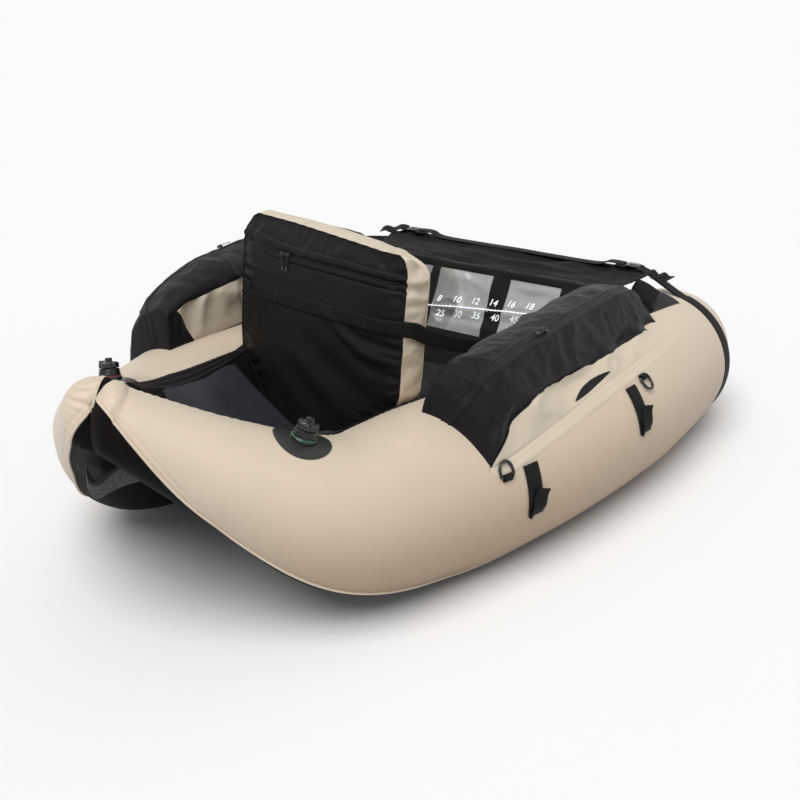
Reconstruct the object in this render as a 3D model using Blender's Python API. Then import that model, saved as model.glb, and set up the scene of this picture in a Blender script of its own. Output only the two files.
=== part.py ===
"""A float tube: two inflated tubes in a sewn cover, joined at a raised bow and open at the stern.

The right-hand tube is worked out along stations that run from the bow to the stern, and the left
one is its mirror image. What lies on a tube is cut by a grown copy of that tube, so it seats.
X points to the right of a seated user, Y to the stern and Z up. The origin is on the ground,
in the middle of the craft.
"""
import math

import bmesh
import bpy
from mathutils import Matrix, Vector

# Hull: overall sizes, in metres
HULL_LENGTH = 1.70
TUBE_REACH = 0.415
TUBE_RADIUS = 0.170
BOW_LIFT = 0.245
STERN_DOME = 0.340
GROUND_PRESS = 0.005
PINCH_HEIGHT = 0.450
PINCH_SETBACK = 0.038

# Hull: cloth, seams and the gap between pieces that touch
COVER_WALL = 0.0016
BLADDER_SLACK = 0.0026
GAP = 0.0003
SEAM_GAP = 0.0008
PIPING_DIAMETER = 0.006

# Centreline of the right-hand tube, bow to stern: along as shares of half the length, across as
# shares of the reach, lift as shares of the bow lift, girth as shares of the tube radius
CENTRE_SHARES = (
    (-0.938, 0.043, 1.00, 0.341),
    (-0.798, 0.371, 0.567, 0.529),
    (-0.617, 0.624, 0.120, 0.824),
    (-0.383, 0.747, 0.0, 0.965),
    (-0.145, 0.884, 0.0, 0.988),
    (0.104, 0.969, 0.0, 0.994),
    (0.350, 1.012, 0.0, 1.0),
    (0.600, 0.985, 0.0, 1.035),
)
# Angle of the outer seam at each of those stations, from the crest of the tube outwards
OUTER_SEAM_DEGREES = (97, 132, 137, 146, 150, 150, 150, 150)
INNER_SEAM_DEGREES = -28
# Where the lengthwise folds of each cover panel lie, as shares of the way from seam to seam
OUTER_FOLD_SHARES = tuple(step / 10 for step in range(11))
INNER_FOLD_SHARES = (0.0, 0.112, 0.215, 0.312, 0.41, 0.508, 0.607, 0.705, 0.803, 0.902, 1.0)
LAST = len(CENTRE_SHARES) - 1
# Ring positions: stations, with fractions between them, the bow cap below 0, the stern dome above
RINGS = (-0.75, -0.4, 0.0, 0.4, 0.75, 1.1, 1.5, 1.9, 2.3, 2.7, 3.1, 3.6, 4.1, 4.6, 5.1, 5.6,
         6.1, 6.6, 7.0, 7.2, 7.4, 7.58, 7.74, 7.88)
BOW_CAP_BAND = 3
STERN_CAP_BAND = 21

# Access zip of each bladder, on the inner panel under the inner seam
ACCESS_FIRST_RING = 6
ACCESS_LAST_RING = 13
TAPE_THICKNESS = 0.0015

# Inflation valves, one on each tube near the bow
VALVE_PLACE = -0.587
VALVE_ANGLE = 3
PATCH_DIAMETER = 0.106
PATCH_THICKNESS = 0.003
PATCH_DEPTH = 0.030
VALVE_FLANGE_DIAMETER = 0.047
VALVE_FLANGE_THICKNESS = 0.005
VALVE_BODY_DIAMETER = 0.042
VALVE_BODY_HEIGHT = 0.018
VALVE_NECK_DIAMETER = 0.028
VALVE_NECK_HEIGHT = 0.008
CAP_DIAMETER = 0.040
CAP_HEIGHT = 0.016
CAP_KNOB_DIAMETER = 0.016
CAP_KNOB_HEIGHT = 0.008
CAP_CLEARANCE = 0.0006

# Bow: knot of gathered cloth over the pinch, drain net in the cleft under it
KNOT_RADIUS = 0.015
KNOT_OUT = 0.010
DRAIN_TOP = 0.345
DRAIN_BOTTOM = 0.245
DRAIN_SETBACK = 0.075
DRAIN_LEAN = 0.045
DRAIN_SAG = 0.022
NET_THICKNESS = 0.0014

# Cloth slung between the tubes: cargo deck behind the backrest, seat sling before it
CLOTH = 0.0016
DECK_BOW = -0.698
DECK_STERN = -0.312
DECK_BOW_HEIGHT = 0.262
DECK_STERN_HEIGHT = 0.236
DECK_SAG = 0.040
SLING_BOW = -0.330
SLING_STERN = 0.185
SLING_HEIGHT = 0.125
SLING_RISE = 0.075

# Seat cushion and backrest, each a cover round a bladder
SEAT_WIDTH = 0.300
SEAT_LENGTH = 0.310
SEAT_THICKNESS = 0.062
SEAT_CROWN = 0.012
SEAT_CENTRE = 0.020
CUSHION_WALL = 0.0015
CUSHION_SLOT = 0.120
CUSHION_SLOT_WIDTH = 0.006
BACK_WIDTH = 0.455
BACK_HEIGHT = 0.471
BACK_THICKNESS = 0.092
BACK_CROWN = 0.012
BACK_STATION = -0.2305
BACK_YAW_DEGREES = 7.3
BACK_LEAN_DEGREES = 6.0
# Half width of the backrest as shares of its half, against height as shares of its height
BACK_OUTLINE_SHARES = ((0.0, 0.44), (0.02, 0.54), (0.136, 0.60), (0.263, 0.70), (0.34, 0.83),
                       (0.405, 0.96), (0.48, 1.0), (0.76, 1.0), (0.93, 1.0), (0.985, 0.965),
                       (1.0, 0.89))
BACK_ZIP_HEIGHT = 0.402
BACK_ZIP_WIDTH = 0.030
BACK_ZIP_REACH = 0.200
BACK_BAND_HEIGHT = 0.327
BACK_BAND_REACH = 0.200
WEBBING_WIDTH = 0.030
WEBBING = 0.0018

# Side straps from the backrest to the pockets
STRAP_SAG = 0.016
STRAP_CLEARANCE = 0.0005
STRAP_START = 0.025
STRAP_STERN = -0.120
STRAP_STERN_HEIGHT = 0.385

# Pockets, one on each tube
POCKET_BOW = -0.352
POCKET_LENGTH = 0.750
POCKET_FOOT = 0.170
POCKET_INNER_FOOT = 0.330
POCKET_OUTER_FOOT = 0.440
# Corners of a full pocket's section: across from the craft's middle, and height
POCKET_SECTION = ((0.3050, 0.3250), (0.3070, 0.4080), (0.3450, 0.4270), (0.4020, 0.4340),
                  (0.4300, 0.4240), (0.4660, 0.3470))
# Angle of the seam that holds the pocket's outer flap to the tube, bow to stern
POCKET_SEAM_DEGREES = (57, 47, 38.5, 34, 31)
POCKET_BEDDING = 0.004
POCKET_OVERHANG_SHARE = 0.86
POCKET_WALL = 0.0025
POCKET_SLIT_WIDTH = 0.012
POCKET_SLIT_END = 0.090
# Fullness of the pocket as shares of its full height, against place as shares of its length
POCKET_FILL_SHARES = ((0.0, 0.0), (0.015, 0.42), (0.045, 0.76), (0.105, 0.95), (0.24, 1.0),
                      (0.45, 1.0), (0.65, 1.0), (0.79, 0.95), (0.90, 0.70), (0.97, 0.36), (1.0, 0.0))
ZIP_THICKNESS = 0.0020
PANEL_THICKNESS = 0.0016

# The left pocket is the fuller one: how much higher it stands, and the share of that at each corner
POCKET_RISES = (0.0, 0.043)
POCKET_RISE_SHARES = (0.0, 0.75, 1.0, 1.0, 1.0, 0.45)

# Zip sliders with their pulls
SLIDER_LENGTH = 0.014
SLIDER_WIDTH = 0.010
SLIDER_HEIGHT = 0.006
PULL_LENGTH = 0.034
PULL_WIDTH = 0.007
PULL_THICKNESS = 0.0025
BACK_SLIDER_OFFSET = -0.092
POCKET_SLIDER_STATION = -0.080

# Apron between the pockets, hung from a strap at the stern edge
APRON_HALF_WIDTH = 0.3000
APRON_STERN = 0.600
APRON_STERN_HEIGHT = 0.377
APRON_MIDDLE = 0.470
APRON_MIDDLE_HEIGHT = 0.368
APRON_FOLD = 0.362
APRON_FOLD_HEIGHT = 0.390
APRON_HEM = 0.258
APRON_HEM_HEIGHT = 0.178
APRON_CLOTH = 0.0022
WINDOW_TOP_DROP = 0.020
WINDOW_HEIGHT = 0.146
WINDOW_PITCH = 0.187
WINDOW_WIDTH = 0.155
PANE_THICKNESS = 0.0010
WING_INNER = 0.345
WING_OUTER = 0.468
WING_BOW = 0.432
WING_TIP_BOW = 0.400
WING_TIP_STERN = 0.530
WING_STERN = 0.545

# Buckle straps at the stern
BUCKLE_CENTRE = 0.306
BUCKLE_STATION = 0.585
BUCKLE_WIDTH = 0.034
BUCKLE_SHELL_LENGTH = 0.034
BUCKLE_HEIGHT = 0.013
BUCKLE_WALL = 0.0025
BUCKLE_CLEARANCE = 0.0005
TONGUE_DEPTH = 0.026
TONGUE_BASE = 0.026
TONGUE_HEIGHT = 0.0090
TONGUE_PULL = 0.022
TONGUE_THICKNESS = 0.0060
PRONG_WIDTH = 0.006
BUCKLE_BAR = 0.005
STERN_STRAP_ANGLES = (8, 22, 38, 54, 70, 86, 102, 118, 132, 143)
STERN_STRAP_WIDTH = 0.032

# D rings, the tabs that hold them, and the rod straps, on the outer side of each tube
RING_STATIONS = (-0.310, 0.156)
RING_ANGLES = (65, 46)
# Which way each ring lies at rest: 0 hangs down the tube and 180 lies up it
RING_TURN_DEGREES = (180, 0)
RING_WIDTH = 0.031
RING_DROP = 0.028
RING_WIRE = 0.0055
TAB_LENGTH = 0.012
TAB_WIDTH = 0.022
TAB_THICKNESS = 0.009
ROD_STATIONS = (-0.252, 0.100)
ROD_ANGLES = (63, 47)
ROD_STRAP_LENGTH = 0.098
ROD_STRAP_WIDTH = 0.030
ROD_STRAP_THICKNESS = 0.005
ROD_STRAP_BEDDING = 0.001

OVERRUN = 0.060
SIDES = (("right", 1), ("left", -1))


def empty_scene():
    for thing in list(bpy.data.objects):
        bpy.data.objects.remove(thing, do_unlink=True)


def finish(name, colour, roughness, metallic=0.0):
    made = bpy.data.materials.new(name)
    made.use_nodes = True
    shader = made.node_tree.nodes["Principled BSDF"]
    shader.inputs["Base Color"].default_value = (*colour, 1.0)
    shader.inputs["Roughness"].default_value = roughness
    shader.inputs["Metallic"].default_value = metallic
    return made


def place(name, mesh_or_curve, material):
    thing = bpy.data.objects.new(name, mesh_or_curve)
    mesh_or_curve.materials.append(material)
    bpy.context.scene.collection.objects.link(thing)
    return thing


def add(name, bm, material, side=1, smooth=True):
    """Makes an object of a bmesh; side -1 gives its mirror image across the craft."""
    if side < 0:
        bmesh.ops.scale(bm, vec=(-1, 1, 1), verts=bm.verts)
        bmesh.ops.reverse_faces(bm, faces=bm.faces)
    bmesh.ops.recalc_face_normals(bm, faces=bm.faces)
    closed = all(edge.is_manifold for edge in bm.edges)
    if closed and bm.calc_volume(signed=True) < 0.0:
        bmesh.ops.reverse_faces(bm, faces=bm.faces)
    mesh = bpy.data.meshes.new(name)
    bm.to_mesh(mesh)
    bm.free()
    if smooth:
        mesh.shade_smooth()
        mesh.set_sharp_from_angle(angle=math.radians(40))
    return place(name, mesh, material)


def as_guide(thing):
    thing.hide_render = True
    thing.display_type = "WIRE"
    return thing


def cut(thing, cutter, how="DIFFERENCE"):
    tool = thing.modifiers.new("cut", "BOOLEAN")
    tool.operation = how
    tool.solver = "EXACT"
    tool.object = cutter
    return thing


def thicken(thing, thickness, offset=-1.0):
    wall = thing.modifiers.new("wall", "SOLIDIFY")
    wall.thickness = thickness
    wall.offset = offset
    wall.use_even_offset = True
    return thing


def band(bm, lower, upper, closed=False, crossed=()):
    """Joins two rows of vertices with triangles; the crossed steps have the other diagonal."""
    count = len(lower)
    last = count if closed else count - 1
    for step in range(last):
        after = (step + 1) % count
        if step in crossed:
            bm.faces.new((lower[step], lower[after], upper[step]))
            bm.faces.new((lower[after], upper[after], upper[step]))
        else:
            bm.faces.new((lower[step], lower[after], upper[after]))
            bm.faces.new((lower[step], upper[after], upper[step]))


def fan(bm, ring, tip):
    for step, vert in enumerate(ring):
        bm.faces.new((vert, ring[(step + 1) % len(ring)], tip))


def tube_of_rows(rows, first_tip=None, last_tip=None, crossed=()):
    """A closed solid of rings of points, closed at each end by a tip or by a flat face."""
    bm = bmesh.new()
    rings = [[bm.verts.new(point) for point in row] for row in rows]
    for lower, upper in zip(rings, rings[1:]):
        band(bm, lower, upper, closed=True, crossed=crossed)
    for ring, tip in ((rings[0], first_tip), (rings[-1], last_tip)):
        if tip is None:
            bm.faces.new(ring)
        else:
            fan(bm, ring, bm.verts.new(tip))
    return bm


def thin_strip(rows):
    """A strip of four-cornered rows, folded along the same diagonals above and below."""
    return tube_of_rows(rows, crossed=(2,))


def box(size, matrix=None, bevel=0.0, segments=1):
    bm = bmesh.new()
    bmesh.ops.create_cube(bm, size=1.0)
    bmesh.ops.scale(bm, vec=size, verts=bm.verts)
    if bevel:
        bmesh.ops.bevel(bm, geom=bm.edges[:], offset=bevel, segments=segments, profile=0.5,
                        affect="EDGES", material=-1)
    if matrix:
        bmesh.ops.transform(bm, matrix=matrix, verts=bm.verts)
    return bm


def join(bm, other):
    mesh = bpy.data.meshes.new("joined")
    other.to_mesh(mesh)
    other.free()
    bm.from_mesh(mesh)
    bpy.data.meshes.remove(mesh)
    return bm


def turned(profile, matrix, sides=20):
    """A solid turned round its own Z from a closed profile of (radius, height) corners."""
    rows = []
    for radius, height in profile:
        if radius > 0.0:
            rows.append([matrix @ Vector((radius * math.cos(math.tau * step / sides),
                                          radius * math.sin(math.tau * step / sides), height))
                         for step in range(sides)])
    return tube_of_rows(rows)


def ribbon(path, across, width, thickness):
    """A flat strap along a path, given the direction across it at each point."""
    rows = []
    for index, point in enumerate(path):
        before = path[max(index - 1, 0)]
        after = path[min(index + 1, len(path) - 1)]
        along = (after - before).normalized()
        side = across[index].normalized()
        up = side.cross(along).normalized()
        half = side * (width / 2)
        rise = up * (thickness / 2)
        rows.append([point - half - rise, point + half - rise,
                     point + half + rise, point - half + rise])
    return thin_strip(rows)


# The right-hand tube
HALF_LENGTH = HULL_LENGTH / 2
PINCH = Vector((GAP, -HALF_LENGTH + PINCH_SETBACK, PINCH_HEIGHT))


def through(table, t):
    """Reads a smooth curve through the rows of a table at t rows from its first."""
    t = min(max(t, 0.0), len(table) - 1.0)
    index = min(int(t), len(table) - 2)
    share = t - index
    picks = [table[min(max(index + step, 0), len(table) - 1)] for step in (-1, 0, 1, 2)]
    values = []
    for a, b, c, d in zip(*picks):
        values.append(b + share * ((c - a) / 2 + share * ((2 * a - 5 * b + 4 * c - d) / 2
                      + share * (3 * (b - c) + d - a) / 2)))
    return values


def centre_at(t):
    along, across, lift, girth = through(CENTRE_SHARES, t)
    radius = girth * TUBE_RADIUS
    height = TUBE_RADIUS - GROUND_PRESS + lift * BOW_LIFT
    return Vector((across * TUBE_REACH, along * HALF_LENGTH, height)), radius


def section_at(t, depth=0.0):
    """A ring of the tube's skin, or of a tube depth under it: its centre, its direction to the
    stern, its radius, and its outward and upward directions. The bow cap lies at t below 0 and the
    stern dome above the last station."""
    station = min(max(t, 0.0), float(LAST))
    centre, radius = centre_at(station)
    step = 0.05
    along = (centre_at(station + step)[0] - centre_at(station - step)[0]).normalized()
    girth = radius - depth
    if t > LAST:
        turn = (t - LAST) * math.pi / 2
        centre = centre + along * ((STERN_DOME - depth) * math.sin(turn))
        girth *= math.cos(turn)
    if t < 0.0:
        turn = -t * math.pi / 2
        reach = PINCH - centre
        centre = centre + reach * (math.sin(turn) * (1.0 - depth / reach.length))
        girth *= math.cos(turn)
    outward = Vector((along.y, -along.x, 0.0)).normalized()
    return centre, along, girth, outward, outward.cross(along)


def hull_point(t, angle, depth=0.0):
    """A point of the tube's skin, or depth under it; the angle runs from the crest outwards."""
    centre, _, girth, outward, up = section_at(t, depth)
    radians = math.radians(angle)
    point = centre + girth * (up * math.cos(radians) + outward * math.sin(radians))
    point.x = max(point.x, GAP + depth)
    point.z = max(point.z, depth)
    return point


def hull_frame(t, angle, depth=0.0):
    """A place on the tube's skin: X down the side of the tube, Y to the stern and Z outwards."""
    point = hull_point(t, angle, depth)
    down = (hull_point(t, angle + 4, depth) - hull_point(t, angle - 4, depth)).normalized()
    along = (hull_point(t + 0.1, angle, depth) - hull_point(t - 0.1, angle, depth)).normalized()
    normal = down.cross(along).normalized()
    along = normal.cross(down)
    turn = Matrix((down, along, normal)).transposed()
    return Matrix.Translation(point) @ turn.to_4x4()


def station_near(y):
    """The station whose ring has its centre at a given place along the craft."""
    low, high = 0.0, LAST + 1.0
    for _ in range(40):
        middle = (low + high) / 2
        if section_at(middle)[0].y < y:
            low = middle
        else:
            high = middle
    return low


def station_through(y, angle):
    """The station whose ring passes a given place along the craft at a given angle."""
    low, high = 0.0, LAST + 1.0
    for _ in range(40):
        middle = (low + high) / 2
        if hull_point(middle, angle).y < y:
            low = middle
        else:
            high = middle
    return low


def crest_height(x, y):
    """The height of the tube's upper skin over a place on the ground."""
    centre, _, radius, _, _ = section_at(station_near(y))
    reach = min(abs(x - centre.x), radius * 0.99)
    return centre.z + math.sqrt(radius * radius - reach * reach)


def fold_angles(t):
    """The angles of a ring's corners: the outer panel's folds, then the inner panel's."""
    outer = through([(angle,) for angle in OUTER_SEAM_DEGREES], t)[0]
    inner = INNER_SEAM_DEGREES
    top = [inner + share * (outer - inner) for share in OUTER_FOLD_SHARES[:-1]]
    under = [outer + share * (360 + inner - outer) for share in INNER_FOLD_SHARES[:-1]]
    return top + under


OUTER_BANDS = len(OUTER_FOLD_SHARES) - 1


def hull_rings(depth):
    return [[hull_point(t, angle, depth) for angle in fold_angles(t)] for t in RINGS]


def hull_tips(depth):
    return hull_point(-1.0, 0, depth), hull_point(LAST + 1.0, 0, depth)


def hull_solid(depth):
    tips = hull_tips(depth)
    return tube_of_rows(hull_rings(depth), *tips)


def cover_panel(wants_outer):
    """One sewn panel of the cover: a sheet whose edges draw back from the seams."""
    bm = bmesh.new()
    rings = [[bm.verts.new(point) for point in row] for row in hull_rings(0.0)]
    count = len(rings[0])
    for index in range(len(rings) - 1):
        whole = index < BOW_CAP_BAND or index >= STERN_CAP_BAND
        for fold in range(count):
            outer = whole or fold < OUTER_BANDS
            if outer == wants_outer:
                after = (fold + 1) % count
                lower, upper = rings[index], rings[index + 1]
                bm.faces.new((lower[fold], lower[after], upper[after]))
                bm.faces.new((lower[fold], upper[after], upper[fold]))
    if wants_outer:
        for ring, tip in zip((rings[0], rings[-1]), hull_tips(0.0)):
            fan(bm, ring, bm.verts.new(tip))
    loose = [vert for vert in bm.verts if not vert.link_faces]
    bmesh.ops.delete(bm, geom=loose, context="VERTS")
    bmesh.ops.recalc_face_normals(bm, faces=bm.faces)
    draw_back(bm, SEAM_GAP)
    return bm


def draw_back(bm, distance):
    """Moves the edge of a sheet back into it by a distance, square to that edge."""
    moves = []
    for vert in bm.verts:
        inward = []
        for edge in vert.link_edges:
            if edge.is_boundary:
                start, end = edge.verts[0].co, edge.verts[1].co
                along = (end - start).normalized()
                apex = [spot for spot in edge.link_faces[0].verts if spot not in edge.verts][0]
                reach = apex.co - start
                inward.append((reach - along * reach.dot(along)).normalized())
        if inward:
            way = sum(inward, Vector()).normalized()
            moves.append((vert, way * (distance / max(way.dot(inward[0]), 0.5))))
    for vert, move in moves:
        vert.co += move


def hull_pieces(cloth, black, piping, rubber):
    """The covers, bladders, piping and access zips, and the grown tubes that cut what lies on them."""
    cutters = {}
    for word, side in SIDES:
        cutters[side] = as_guide(add(f"guide_tube_{word}", hull_solid(-GAP), black, side))
        thicken(add(f"outer_cover_{word}", cover_panel(True), cloth, side), COVER_WALL)
        thicken(add(f"inner_cover_{word}", cover_panel(False), black, side), COVER_WALL)
        depth = COVER_WALL + BLADDER_SLACK
        add(f"main_bladder_{word}", hull_solid(depth), rubber, side)
        seam_piping(word, side, piping)
        access_zip(word, side, black)
    return cutters


def seam_piping(word, side, material):
    curve = bpy.data.curves.new(f"seam_piping_{word}", "CURVE")
    curve.dimensions = "3D"
    curve.bevel_depth = PIPING_DIAMETER / 2
    curve.bevel_resolution = 1
    curve.use_fill_caps = True
    line = curve.splines.new("POLY")
    stops = [t for t in RINGS if 0.0 <= t <= LAST + 0.5]
    line.points.add(len(stops) - 1)
    for stop, t in zip(line.points, stops):
        seam = fold_angles(t)[OUTER_BANDS]
        spot = hull_point(t, seam, -PIPING_DIAMETER / 2 - 2 * GAP)
        stop.co = (side * spot.x, spot.y, max(spot.z, PIPING_DIAMETER), 1.0)
    place(f"seam_piping_{word}", curve, material)


def access_zip(word, side, material):
    """A zip tape along the upper edge of the inner panel, flat on the panel's first facet."""
    rows = []
    for t in RINGS[ACCESS_FIRST_RING:ACCESS_LAST_RING]:
        angles = fold_angles(t)
        low = hull_point(t, angles[-1], 0.0)
        high = hull_point(t, angles[0], 0.0)
        centre, _, _, _, _ = section_at(t)
        out = ((low + high) / 2 - centre).normalized()
        near = low.lerp(high, 0.16)
        far = low.lerp(high, 0.86)
        lift = out * (2 * GAP)
        top = out * (2 * GAP + TAPE_THICKNESS)
        rows.append([near + lift, far + lift, far + top, near + top])
    add(f"access_zip_{word}", thin_strip(rows), material, side)


def valve(word, side, cutter, plastic, patch_material):
    station = station_through(VALVE_PLACE, VALVE_ANGLE)
    frame = hull_frame(station, VALVE_ANGLE)
    turns = 20
    rows = []
    seat_radius = VALVE_FLANGE_DIAMETER / 2 + PATCH_THICKNESS
    outer_radius = PATCH_DIAMETER / 2
    normal = frame.col[2].to_3d()
    seat_level = PATCH_THICKNESS
    for radius, flat in ((seat_radius, True), (outer_radius, False)):
        ring = []
        for step in range(turns):
            angle = math.tau * step / turns
            spot = Vector((radius * math.cos(angle), radius * math.sin(angle), seat_level))
            point = frame @ spot
            if not flat:
                point = point - normal * drop_to_hull(point, station)
            ring.append(point)
        rows.append(ring)
    under = [point - normal * PATCH_DEPTH for point in rows[1]]
    bm = tube_of_rows([under, rows[1], rows[0]])
    cut(add(f"valve_patch_{word}", bm, patch_material, side), cutter)
    base = frame @ Matrix.Translation((0, 0, seat_level + GAP))
    flange = VALVE_FLANGE_DIAMETER / 2
    body = VALVE_BODY_DIAMETER / 2
    neck = VALVE_NECK_DIAMETER / 2
    shoulder = VALVE_FLANGE_THICKNESS + VALVE_BODY_HEIGHT
    profile = ((flange, 0), (flange, VALVE_FLANGE_THICKNESS * 0.6),
               (body + CAP_CLEARANCE, VALVE_FLANGE_THICKNESS), (body, shoulder * 0.9),
               (body * 0.93, shoulder), (neck, shoulder), (neck, shoulder + VALVE_NECK_HEIGHT))
    add(f"valve_body_{word}", turned(profile, base), plastic, side)
    valve_cap(word, side, base @ Matrix.Translation((0, 0, shoulder + GAP)), plastic)


def valve_cap(word, side, seat, plastic):
    """A screw cap: a skirt round the valve's neck, with a grip knob on top."""
    outer = CAP_DIAMETER / 2
    inner = VALVE_NECK_DIAMETER / 2 + CAP_CLEARANCE
    knob = CAP_KNOB_DIAMETER / 2
    hollow = VALVE_NECK_HEIGHT + CAP_CLEARANCE
    profile = ((inner * 0.98, hollow), (inner, 0), (outer, 0), (outer, CAP_HEIGHT * 0.8),
               (outer * 0.86, CAP_HEIGHT), (knob, CAP_HEIGHT * 1.02),
               (knob, CAP_HEIGHT + CAP_KNOB_HEIGHT * 0.75),
               (knob * 0.7, CAP_HEIGHT + CAP_KNOB_HEIGHT))
    add(f"valve_cap_{word}", turned(profile, seat), plastic, side)


def drop_to_hull(point, t):
    """How far a point stands proud of a patch's thickness over the tube near station t."""
    best = None
    for step in range(-12, 13):
        centre, _, radius, _, _ = section_at(t + step * 0.08)
        height = (point - centre).length - radius
        if best is None or height < best:
            best = height
    return best - PATCH_THICKNESS


def bow_pieces(cutters, cloth, net):
    bm = bmesh.new()
    bmesh.ops.create_icosphere(bm, subdivisions=2, radius=KNOT_RADIUS)
    middle = Vector((0, PINCH.y - KNOT_OUT, PINCH.z + KNOT_OUT * 0.3))
    bmesh.ops.translate(bm, vec=middle, verts=bm.verts)
    knot = add("bow_knot", bm, cloth)
    rows = []
    steps = 6
    for up in range(steps + 1):
        share = up / steps
        height = DRAIN_BOTTOM + share * (DRAIN_TOP - DRAIN_BOTTOM)
        lie = -HALF_LENGTH + DRAIN_SETBACK + DRAIN_LEAN * (1 - share)
        t = station_near(lie)
        half = max(section_at(t)[0].x, KNOT_RADIUS)
        row = []
        for over in range(-4, 5):
            across = over / 4
            row.append(Vector((across * half, lie + DRAIN_SAG * (1 - across * across), height)))
        rows.append(row)
    drain = sheet("bow_drain_net", rows, net, NET_THICKNESS)
    for side in (1, -1):
        cut(knot, cutters[side])
        cut(drain, cutters[side])


def sheet(name, rows, material, thickness, side=1):
    bm = bmesh.new()
    grid = [[bm.verts.new(point) for point in row] for row in rows]
    for lower, upper in zip(grid, grid[1:]):
        band(bm, lower, upper)
    return thicken(add(name, bm, material, side), thickness)


def slung(name, rows, material, cutters, shape):
    """Cloth between the tubes; each row gives its place, middle height and edge height."""
    grid = []
    for y, middle, edge in rows:
        half = section_at(station_near(y))[0].x
        row = []
        for over in range(-5, 6):
            across = over / 5
            row.append(Vector((across * half, y, middle + (edge - middle) * shape(abs(across)))))
        grid.append(row)
    cloth = sheet(name, grid, material, CLOTH)
    for side in (1, -1):
        cut(cloth, cutters[side])
    return cloth


def deck_and_sling(cutters, black):
    steps = 5
    rows = []
    for index in range(steps + 1):
        share = index / steps
        y = DECK_BOW + share * (DECK_STERN - DECK_BOW)
        edge = DECK_BOW_HEIGHT + share * (DECK_STERN_HEIGHT - DECK_BOW_HEIGHT)
        rows.append((y, edge - DECK_SAG * min(1.0, share * 2), edge))
    slung("cargo_deck", rows, black, cutters, lambda across: across ** 2)
    rows = [(SLING_BOW + step / 4 * (SLING_STERN - SLING_BOW), SLING_HEIGHT,
             SLING_HEIGHT + SLING_RISE) for step in range(5)]
    slung("seat_sling", rows, black, cutters, lambda across: max(0.0, across - 0.4) / 0.6)


# A cushion's face: how high it stands at shares of the way from its middle to its outline, as
# shares of half its thickness and of its crown
SWELL_SHARES = ((0.0, 1.0, 1.0), (0.5, 1.0, 0.8), (0.91, 1.0, 0.22), (0.985, 0.80, 0.0), (1.0, 0.0, 0.0))


def swell(share, half, crown):
    for low, high in zip(SWELL_SHARES, SWELL_SHARES[1:]):
        if share <= high[0]:
            way = (share - low[0]) / (high[0] - low[0])
            return half * (low[1] + way * (high[1] - low[1])) + crown * (low[2] + way * (high[2] - low[2]))
    return 0.0


def outline_middle(outline):
    return sum((Vector(spot) for spot in outline), Vector((0, 0))) / len(outline)


def outline_share(outline, spot):
    """How far a spot lies from the middle, as a share of the way to the outline."""
    middle = outline_middle(outline)
    ray = Vector(spot) - middle
    best = 0.0
    for index, corner in enumerate(outline):
        a = Vector(corner) - middle
        edge = Vector(outline[(index + 1) % len(outline)]) - Vector(corner)
        area = edge.x * ray.y - edge.y * ray.x
        if abs(area) > 0.0:
            reach = (edge.x * a.y - edge.y * a.x) / area
            along = (ray.x * a.y - ray.y * a.x) / area
            if reach > 0.0 and 0.0 <= along <= 1.0:
                best = max(best, 1.0 / reach)
    return best


def cushion(outline, thickness, crown, matrix, grow=0.0):
    """A crowned cushion: its outline drawn round a middle, its faces swelling along local Z."""
    middle = outline_middle(outline)
    half = thickness / 2
    layers = [(share, -swell(share, half, crown) - grow) for share, _, _ in SWELL_SHARES[1:-1]]
    layers += [(1.0, 0.0)]
    layers += [(share, swell(share, half, crown) + grow) for share, _, _ in reversed(SWELL_SHARES[1:-1])]
    rows = []
    for share, height in layers:
        ring = []
        for spot in outline:
            reach = Vector(spot) - middle
            reach = reach * share + reach.normalized() * grow
            ring.append(matrix @ Vector((middle.x + reach.x, middle.y + reach.y, height)))
        rows.append(ring)
    tip = half + crown + grow
    tips = [matrix @ Vector((middle.x, middle.y, height)) for height in (-tip, tip)]
    return tube_of_rows(rows, *tips)


def padded_pair(name, outline, thickness, crown, matrix, slot, materials):
    """A cover with a slit in one face, and the bladder inside it."""
    cover = add(f"{name}_cover", cushion(outline, thickness, crown, matrix), materials[0])
    hollow = as_guide(add(f"guide_{name}_hollow",
                          cushion(outline, thickness, crown, matrix, -CUSHION_WALL), materials[0]))
    slit = as_guide(add(f"guide_{name}_slit", box(slot[0], matrix @ slot[1]), materials[0]))
    cut(cut(cover, hollow), slit)
    inset = -CUSHION_WALL - 2 * GAP
    add(f"{name}_bladder", cushion(outline, thickness, crown, matrix, inset), materials[1])
    return as_guide(add(f"guide_{name}_skin", cushion(outline, thickness, crown, matrix, GAP),
                        materials[0]))


def seat(materials):
    half_width = SEAT_WIDTH / 2
    half_length = SEAT_LENGTH / 2
    corner = SEAT_THICKNESS / 2
    outline = []
    for right, ahead, start in ((1, 1, 0), (-1, 1, 90), (-1, -1, 180), (1, -1, 270)):
        for step in range(4):
            angle = math.radians(start + step * 30)
            outline.append((right * (half_width - corner) + corner * math.cos(angle),
                            ahead * (half_length - corner) + corner * math.sin(angle)))
        nearer = start % 180 == 0
        outline.append((0.0, ahead * (half_length - SEAT_CROWN * 0.4)) if nearer
                       else (right * (half_width - SEAT_CROWN * 0.4), 0.0))
    lie = SLING_HEIGHT + GAP + SEAT_THICKNESS / 2 + SEAT_CROWN
    matrix = Matrix.Translation((0, SEAT_CENTRE, lie))
    slot = ((CUSHION_SLOT, CUSHION_SLOT_WIDTH, SEAT_THICKNESS),
            Matrix.Translation((0, -half_length / 2, -SEAT_THICKNESS / 2 - SEAT_CROWN)))
    padded_pair("seat", outline, SEAT_THICKNESS, SEAT_CROWN, matrix, slot, materials)


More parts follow.
